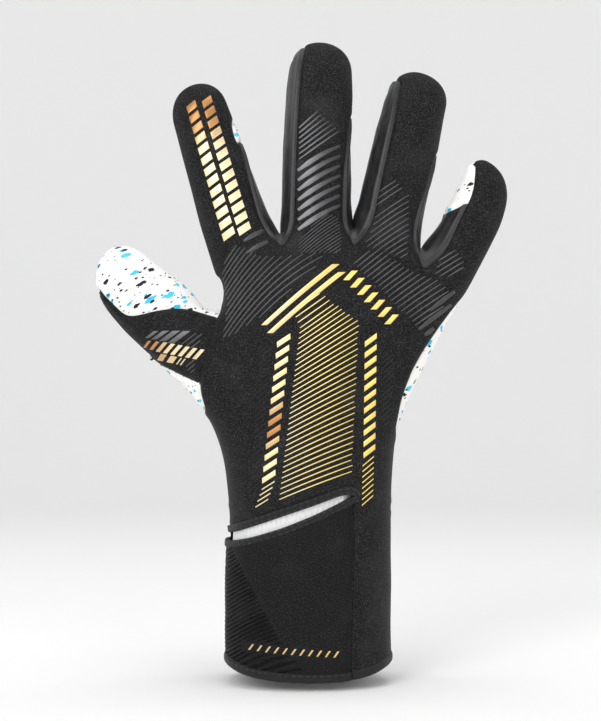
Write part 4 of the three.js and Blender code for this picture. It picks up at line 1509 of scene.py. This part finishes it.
def lay(strokes, patches, side=BACK):
    """Strokes as one patch that lies on the glove. A stroke that runs off the patches is left out."""
    points, faces = [], []
    for patch in patches:
        faces += [tuple(i + len(points) for i in f) for f in patch.faces]
        points += patch.points.tolist()
    tree = BVHTree.FromPolygons(points, faces, epsilon=0)
    out_points, out_faces, out_flat, out_cloth = [], [], [], []
    for flat, lift, tone in strokes:
        hits = []
        for x, z in flat.reshape(-1, 2):
            where, normal, _, _ = tree.ray_cast(Vector((x, side * 150, z)), Vector((0, -side, 0)))
            if where is None or abs(normal.y) < GRAZING:
                break
            hits.append((where, normal if normal.y * side > 0 else -normal))
        if len(hits) < lift.size:
            continue
        rows, columns = flat.shape[:2]
        start = len(out_points)
        for (where, normal), height in zip(hits, lift.ravel()):
            out_points.append(tuple(where + normal * height))
        out_faces += (grid_faces(rows, columns) + start).tolist()
        out_flat += flat.reshape(-1, 2).tolist()
        tones = np.repeat(tone, columns)
        out_cloth += np.column_stack([flat.reshape(-1, 2), tones]).tolist()
    patch = Patch(np.array(out_points), out_faces, np.array(out_flat), np.array(out_cloth))
    return facing(patch, np.tile((0.0, side, 0.0), (len(out_points), 1)))


def climb_of(xs, step, span, slopes):
    """How far a line has climbed at each x when its slope, in degrees, changes evenly across a span."""
    angles = np.radians(np.interp(xs, span, slopes))
    return np.concatenate([[0], np.cumsum(np.tan(angles[:-1]) * step)])


HATCH_STEP, SHORTEST_LINE = 0.7, 2.5


def hatch(polygon, slopes, span, pitch, width, height=0.3, tone=0.35):
    """Lines of one family inside a polygon. Their slope changes evenly across the span."""
    polygon = np.array(polygon, float)
    xs = np.arange(span[0], span[1], HATCH_STEP)
    rise = climb_of(xs, HATCH_STEP, span, slopes)
    apart = pitch / math.cos(math.radians(0.5 * (slopes[0] + slopes[1])))
    widths = (width * 0.6, width, width, width * 0.6)
    strokes = []
    for offset in np.arange(polygon[:, 1].min() - rise.max(), polygon[:, 1].max(), apart):
        line = np.stack([xs, offset + rise], 1)
        within = inside(line, polygon)
        edges = np.flatnonzero(np.diff(np.concatenate([[0], within.astype(int), [0]])))
        for first, last in zip(edges[::2], edges[1::2]):
            part = line[first:last]
            if len(part) > 3 and np.linalg.norm(part[-1] - part[0]) > SHORTEST_LINE:
                strokes.append(stroke(part, widths, height, None, tone))
    return strokes


# The foil on the back of the hand: a field of fine lines between two ladders of bars, closed at the top by
# two long stripes and a row of short bars.
FIELD_TOP, FIELD_LOW = 155.0, 81.5
FIELD_LINES, ROOF_LINES = 33, 7
FIELD_STEP, FIELD_RIGHT = 0.8, 22
FIELD_SHOULDER, FIELD_PEAK = 158, 172.5
gold = []
for k in range(FIELD_LINES + ROOF_LINES):
    share = k / (FIELD_LINES - 1)
    z = FIELD_LOW + (FIELD_TOP - FIELD_LOW) * share
    left = -12.4 + 8.9 * min(share, 1) - (max(share, 1) - 1) * 30
    left = max(left, -10.5) if share > 1 else left
    slopes = (24 + 11 * min(share, 1), 17 + 19 * min(share, 1))
    xs = np.arange(left, FIELD_RIGHT + 0.5, FIELD_STEP)
    zs = z + climb_of(xs, FIELD_STEP, (left, FIELD_RIGHT), slopes)
    past = zs - FIELD_SHOULDER
    right = np.where(past < 0, FIELD_RIGHT + 3 * past / 67, FIELD_RIGHT - past * 1.33)
    slit = np.interp(xs, SLIT_UPPER[:, 0], SLIT_UPPER[:, 1]) + 4.6
    keep = (xs < right) & (zs > slit) & (zs < np.minimum(xs + 167.5, FIELD_PEAK))
    line = np.stack([xs, zs], 1)[keep]
    if len(line) > 6:
        gold.append(stroke(line, (0.42, 0.5, 0.5, 0.36), FOIL_HEIGHT))
# The ladders, the thin bars under them and the short bars at the top. Each row has its count, its first
# bar's middle, the step to the next, and a bar's reach, rise, width, slant and tone. The left ladder is
# browner near its middle.
BROWN_AT, BROWN_WIDTH = 113, 9
for count, start, step, reach, rise, width, slant, tone in (
    (13, (-16.9, 91.2), (6.4 / 12, 58.4 / 12), 2.9, 1.9, 2.15, 92, None),
    (4, (-17.2, 87.4), (-0.9, -2.55), 2.8, 1.8, 0.55, 92, 0.0),
    (11, (26.4, 102), (0.05, 4.78), 2.6, 1.9, 2.05, 90, 0.12),
    (8, (25.9, 97.6), (-0.05, -2.4), 2.5, 2.0, 0.5, 90, 0.1),
    (7, (18.2, 177.6), (2.95, -3.15), 1.9, 2.1, 2.1, 0, 0.12),
):
    for k in range(count):
        x, z = start[0] + step[0] * k, start[1] + step[1] * k
        brown = float(hump(z, BROWN_AT, BROWN_WIDTH)) if tone is None else tone
        gold.append(bar(x, z, reach, rise, width, slant, brown))
for drop in (0.0, 4.6):
    t = np.linspace(0, 1, 24)
    line = np.stack([-19 + 31 * t + drop * 0.55, 156.2 + 28.5 * t - 2.2 * t**2 - drop * 0.75], 1)
    gold.append(stroke(line, (1.9, 2.1, 2.1), FOIL_HEIGHT, 0, 0.25))

# The index finger: two columns of slanted bars.
LADDER_START, LADDER_PITCH, LADDER_BARS = 7.6, 4.9, 13
for k in range(LADDER_BARS):
    s = LADDER_START + LADDER_PITCH * k
    brown = float(smoothstep(s, 44, 62)) * 0.95
    for low, high in ((-8.6, -2.6), (-1.4, 4.6)):
        ends = index.point(np.array([s - 0.5, s + 1.3]), np.array([low + 0.04 * s, high + 0.02 * s]))
        gold.append(stroke(ends, 3.3, FOIL_HEIGHT, 108, brown))

# The thumb: two rows of slanted blocks, browner to the tip, and two thin bars.
for k in range(10):
    share = k / 9
    x, z = -77.4 + 29.8 * share, 149.4 - 5.7 * share
    size = 0.45 + 0.55 * min(1, share * 2.2)
    brown = 1.2 * float(smoothstep(0.6 - share, -0.1, 0.5))
    gold.append(bar(x, z, 1.9 * size, 2.1 * size, 1.7 * size, -10, brown))
THUMB_BLOCKS = ((-71.6, 2.2), (-68.2, 3.0), (-64.2, 3.5), (-59.7, 3.8), (-56.4, 0.8), (-54.7, 0.8))
for k, (x, wide) in enumerate(THUMB_BLOCKS):
    z = 143.9 - 0.21 * (x + 71.6)
    gold.append(bar(x, z, 1.1, 1.4, wide * 0.74, -12, max(0, 1.1 - 0.25 * k)))

# The strap: a row of small slanted dashes.
dash_places = [DASH_START[0] + DASH_STEP[0] * k for k in range(DASH_COUNT)]
strap_gold = [bar(x, dash_height(x), 0.9, 1.3, 0.75, 0, 0.35) for x in dash_places]

# Grey silicone: hatched fields, each with its corners, slopes, span, pitch and line width.
GRIP_FIELDS = (
    ([(-37, 150), (-32, 152), (-20, 160), (4, 182), (8, 188), (-4, 187), (-14, 186), (-21, 187), (-32, 192),
      (-38, 180), (-35.5, 165)], (60, 24), (-40, 10), 2.15, 0.62),
    ([(18, 184), (26, 176), (42, 160), (46, 156), (58, 163), (62, 171), (56, 176), (44, 180), (30, 190),
      (23, 187)], (41, 31), (14, 66), 2.1, 0.6),
    ([(46, 155), (51, 150.5), (61.5, 163), (64.5, 171), (60, 172)], (38, 36), (40, 68), 3.7, 2.1, 0.34, 0.15),
    ([(54, 177), (60, 177), (68, 180), (67.5, 186), (62, 192), (57, 187)], (34, 30), (50, 72), 2.0, 0.6),
    ([(24, 190), (43, 184), (44, 198), (44, 213), (38, 220), (31, 216), (28, 200)],
     (40, 30), (22, 46), 2.05, 0.6),
    ([(-4, 187), (15, 187), (14.5, 196), (13, 204), (8, 205), (-4, 194)], (44, 30), (-6, 16), 1.25, 0.42),
    ([(-57.5, 147.8), (-50, 153.6), (-45.8, 152.8), (-47.3, 145.6)], (38, 36), (-60, -42), 1.9, 0.55),
    ([(-54, 138.5), (-52, 142), (-48.5, 142.3), (-48.8, 133), (-50.5, 133.6)],
     (40, 38), (-56, -46), 1.7, 0.55),
)
# Curved strokes on the middle finger, thinner ones above them, and a few on the index knuckle. Each row has a
# count, the first stroke's start, the step to the next, the reach and its step, the rise and its step, how
# much the stroke bends, its points, widths, height and tones.
GRIP_ROWS = (
    (7, (-4.4, 197.5), (0, 4.35), (18.4, 0), (14.2, 0), 3.4, 16, (1.2, 2.35, 2.2, 1.9, 1.4), 0.42,
     (1.0, 1.0, 0.45, 0.1, 0.0)),
    (7, (-3.9, 228.6), (0, 2.3), (17.6, -1.6), (12.6, -0.9), 0, 14, (0.5, 0.75, 0.7, 0.4), 0.3,
     (0.9, 0.6, 0.2)),
    (6, (-26.6, 187.5), (-1.3, 5.2), (9.2, 0), (6.2, 0), 1.2, 12, (0.9, 2.2, 2.0, 1.3), 0.3, (0.3, 0.1, 0.0)),
)
grip = [line for field in GRIP_FIELDS for line in hatch(*field)]
for count, start, step, reach, rise, bend, points, widths, height, tones in GRIP_ROWS:
    t = np.linspace(0, 1, points)
    for k in range(count):
        x, z = start[0] + step[0] * k, start[1] + step[1] * k
        line = np.stack([x + (reach[0] + reach[1] * k) * t, z + (rise[0] + rise[1] * k) * t - bend * t**2], 1)
        grip.append(stroke(line, widths, height, None, tones))
for start, end, wide in (
    ((-70.6, 150.9), (-66.4, 153.9), 1.3), ((-67.6, 150.2), (-62.0, 154.0), 1.7),
    ((-63.6, 149.5), (-57.4, 154.0), 2.1), ((-60.0, 148.6), (-52.8, 153.9), 2.1),
):
    grip.append(stroke([start, end], wide, 0.35, 0, (0.3, 0.75)))

# Fine lines pressed beside the ladders, as dark as the cloth.
pressed = []
for corners, span in (
    ([(-24, 98), (-26, 82), (-20.4, 80), (-15.5, 148), (-22, 148)], (-28, -14)),
    ([(31, 147), (38, 142), (35, 112), (30.6, 112)], (28, 40)),
):
    pressed += hatch(corners, (42, 40), span, 1.75, 0.5, 0.2)

BACK_PATCHES = [back_panel, thumb_strip]
PRINTS = [
    ("foil", lay(gold, BACK_PATCHES), GOLD, None),
    ("grip", lay(grip, BACK_PATCHES), SILICONE, None),
    ("pressed_lines", lay(pressed, BACK_PATCHES), PRESSED, None),
    ("strap_foil", lay(strap_gold, [strap_front]), GOLD, "strap_front"),
]


# ---------------------------------------------------------------- making the pieces; only the cuff's pieces go on a body

FINGER_GROUPS = [f"{name}_{part}" for name in FINGERS for part in ("knuckle", "tip")]
NODE_PART = {"knuckle": "base", "tip": "tip"}

back_nodes = {"hand": ["back_panel"], "cuff": ["cuff_panel"]}
palm_nodes = {"hand": ["palm_latex", "palm_foam"]}
for group in FINGER_GROUPS:
    finger, part = group.split("_")
    back_nodes[group] = [f"{finger}_{NODE_PART[part]}_back"]
    palm_nodes[group] = [f"{finger}_{NODE_PART[part]}_palm"]
thumb_nodes = {f"thumb_{part}": [f"thumb_{NODE_PART[part]}_back"] for part in NODE_PART}
for part in NODE_PART:
    palm_nodes[f"thumb_{part}"] = [f"thumb_{NODE_PART[part]}_latex"]

place("back", back_panel, NEOPRENE, "neoprene", back_nodes, 0.5)
place("thumb_strip", thumb_strip, NEOPRENE, "neoprene", thumb_nodes, 0.5)
place("latex", latex, LATEX, "latex", palm_nodes, 0.6)
place("cuff_palm", cuff_palm, NEOPRENE, "neoprene", {"hand": ["wrist_flex_strip"]})
for gap, leather in zip(GAPS, gussets):
    nodes = {"hand": ["web_" + gap["name"]]}
    for finger, side in zip(gap["fingers"], ("little_side", "thumb_side")):
        for part in NODE_PART:
            nodes[f"{finger}_{part}"] = [f"{finger}_{NODE_PART[part]}_gusset_{side}"]
    place("gusset_" + gap["name"], leather, LEATHER, "leather", nodes)

for side, panel in (("strap_front", strap_front), ("strap_wrap", strap_wrap)):
    place(side + "_panel", panel, STRAP, "strap", {side: [side]}, groups=side)
for side, top_tape, hem_tape in (
        ("strap_front", front_top_binding, front_hem_binding),
        ("strap_wrap", wrap_top_binding, wrap_hem_binding)):
    place(side + "_top_tape", top_tape, BINDING, "binding", {side: [side + "_top_binding"]}, groups=side)
    place(side + "_hem_tape", hem_tape, BINDING, "binding", {side: [side + "_hem_binding"]}, groups=side)
place("strap_wrap_end_tape", wrap_end_binding, BINDING, "binding", groups="strap_wrap")
place("cuff_hem_tape", cuff_hem_binding, BINDING, "binding", {"cuff": ["cuff_hem_binding"]}, groups="cuff")
place("slit_tape", slit_binding, BINDING, "binding", {"hand": ["hand_edge_binding"]}, groups="hand")
place("sleeve", wrist_sleeve, SLEEVE, "elastic", {"hand": ["wrist_sleeve"]}, groups="hand")
place("loops", loop_patch, HOOKS, "hook_and_loop", {"cuff": ["loop_patch"]}, groups="cuff")
place("hooks", hook_patch, HOOKS, "hook_and_loop", {"strap_wrap": ["hook_patch"]}, groups="strap_wrap")
for name, rows, group in STITCH_ROWS:
    patch = rows[0].joined(*rows[1:])
    patch.refresh()
    place(name, patch, THREAD, "binding", groups=group)
for name, patch, look, group in PRINTS:
    place(name, patch, look, None, groups=group)

# ---------------------------------------------------------------- floor, light and camera

scene = bpy.context.scene
floor_look = Look("floor")
for name, value in (("Base Color", (0.94, 0.94, 0.94)), ("Roughness", 0.9), ("Specular IOR Level", 0.1)):
    floor_look.give(floor_look.shader.inputs[name], value)
# A round floor whose rim curves up into a wall, the same from every side.
FLOOR_FLAT, FLOOR_CURVE, WALL_TOP, FLOOR_SIDES = 0.95, 0.75, 1.7, 72
profile = [(radius, 0.0) for radius in (0.3, 0.6, FLOOR_FLAT)]
for turn in np.linspace(0, math.pi / 2, 17)[1:]:
    profile.append((FLOOR_FLAT + FLOOR_CURVE * math.sin(turn), FLOOR_CURVE * (1 - math.cos(turn))))
profile.append((FLOOR_FLAT + FLOOR_CURVE, WALL_TOP))
verts = [(0.0, 0.0, 0.0)]
for radius, height in profile:
    for step in range(FLOOR_SIDES):
        angle = 2 * math.pi * step / FLOOR_SIDES
        verts.append((radius * math.cos(angle), radius * math.sin(angle), height))
faces = [(0, 1 + step, 1 + (step + 1) % FLOOR_SIDES) for step in range(FLOOR_SIDES)]
faces += (grid_faces(len(profile), FLOOR_SIDES, True)[:, ::-1] + 1).tolist()
mesh = bpy.data.meshes.new("floor")
mesh.from_pydata(verts, [], faces)
mesh.materials.append(floor_look.material)
mesh.polygons.foreach_set("use_smooth", [True] * len(mesh.polygons))
floor = bpy.data.objects.new("floor", mesh)
scene.collection.objects.link(floor)


def area_light(name, where, aim, size, power):
    data = bpy.data.lights.new(name, "AREA")
    data.shape, data.size, data.size_y = "RECTANGLE", size[0], size[1]
    data.energy = power
    light = bpy.data.objects.new(name, data)
    light.location = where
    light.rotation_euler = (Vector(aim) - Vector(where)).to_track_quat("-Z", "Y").to_euler()
    light.visible_camera = False
    scene.collection.objects.link(light)


AIM = (0, 0, 0.14)
area_light("key", (-0.55, -1.1, 0.85), AIM, (0.6, 0.8), 7.0)
area_light("fill", (0.6, -1.1, 0.35), AIM, (0.7, 0.9), 3.6)
area_light("top", (0.05, -0.1, 1.25), AIM, (0.9, 0.7), 4.0)
area_light("wall", (0, 0.55, 1.55), (0, 1.7, 0.45), (1.4, 0.5), 1.6)
area_light("rim_left", (-0.75, 0.35, 0.35), AIM, (0.25, 0.9), 1.0)
area_light("rim_right", (0.75, 0.35, 0.35), AIM, (0.25, 0.9), 1.0)

world = bpy.data.worlds.new("studio")
world.use_nodes = True
sky = world.node_tree.nodes["Background"]
sky.inputs["Color"].default_value = (1, 1, 1, 1)
sky.inputs["Strength"].default_value = 0.44
scene.world = world
scene.view_settings.view_transform = "Standard"

CAMERA_DISTANCE, PICTURE_HEIGHT, CAMERA_AIM = 0.8, 0.3172, Vector((-0.0033, 0, 0.141))
camera_data = bpy.data.cameras.new("camera")
camera_data.sensor_fit = "VERTICAL"
camera_data.sensor_height = 24
camera_data.lens = camera_data.sensor_height * CAMERA_DISTANCE / PICTURE_HEIGHT
camera = bpy.data.objects.new("camera", camera_data)
camera.location = CAMERA_AIM + Vector((0, -CAMERA_DISTANCE, 0))
camera.rotation_euler = (math.pi / 2, 0, 0)
scene.collection.objects.link(camera)
scene.camera = camera
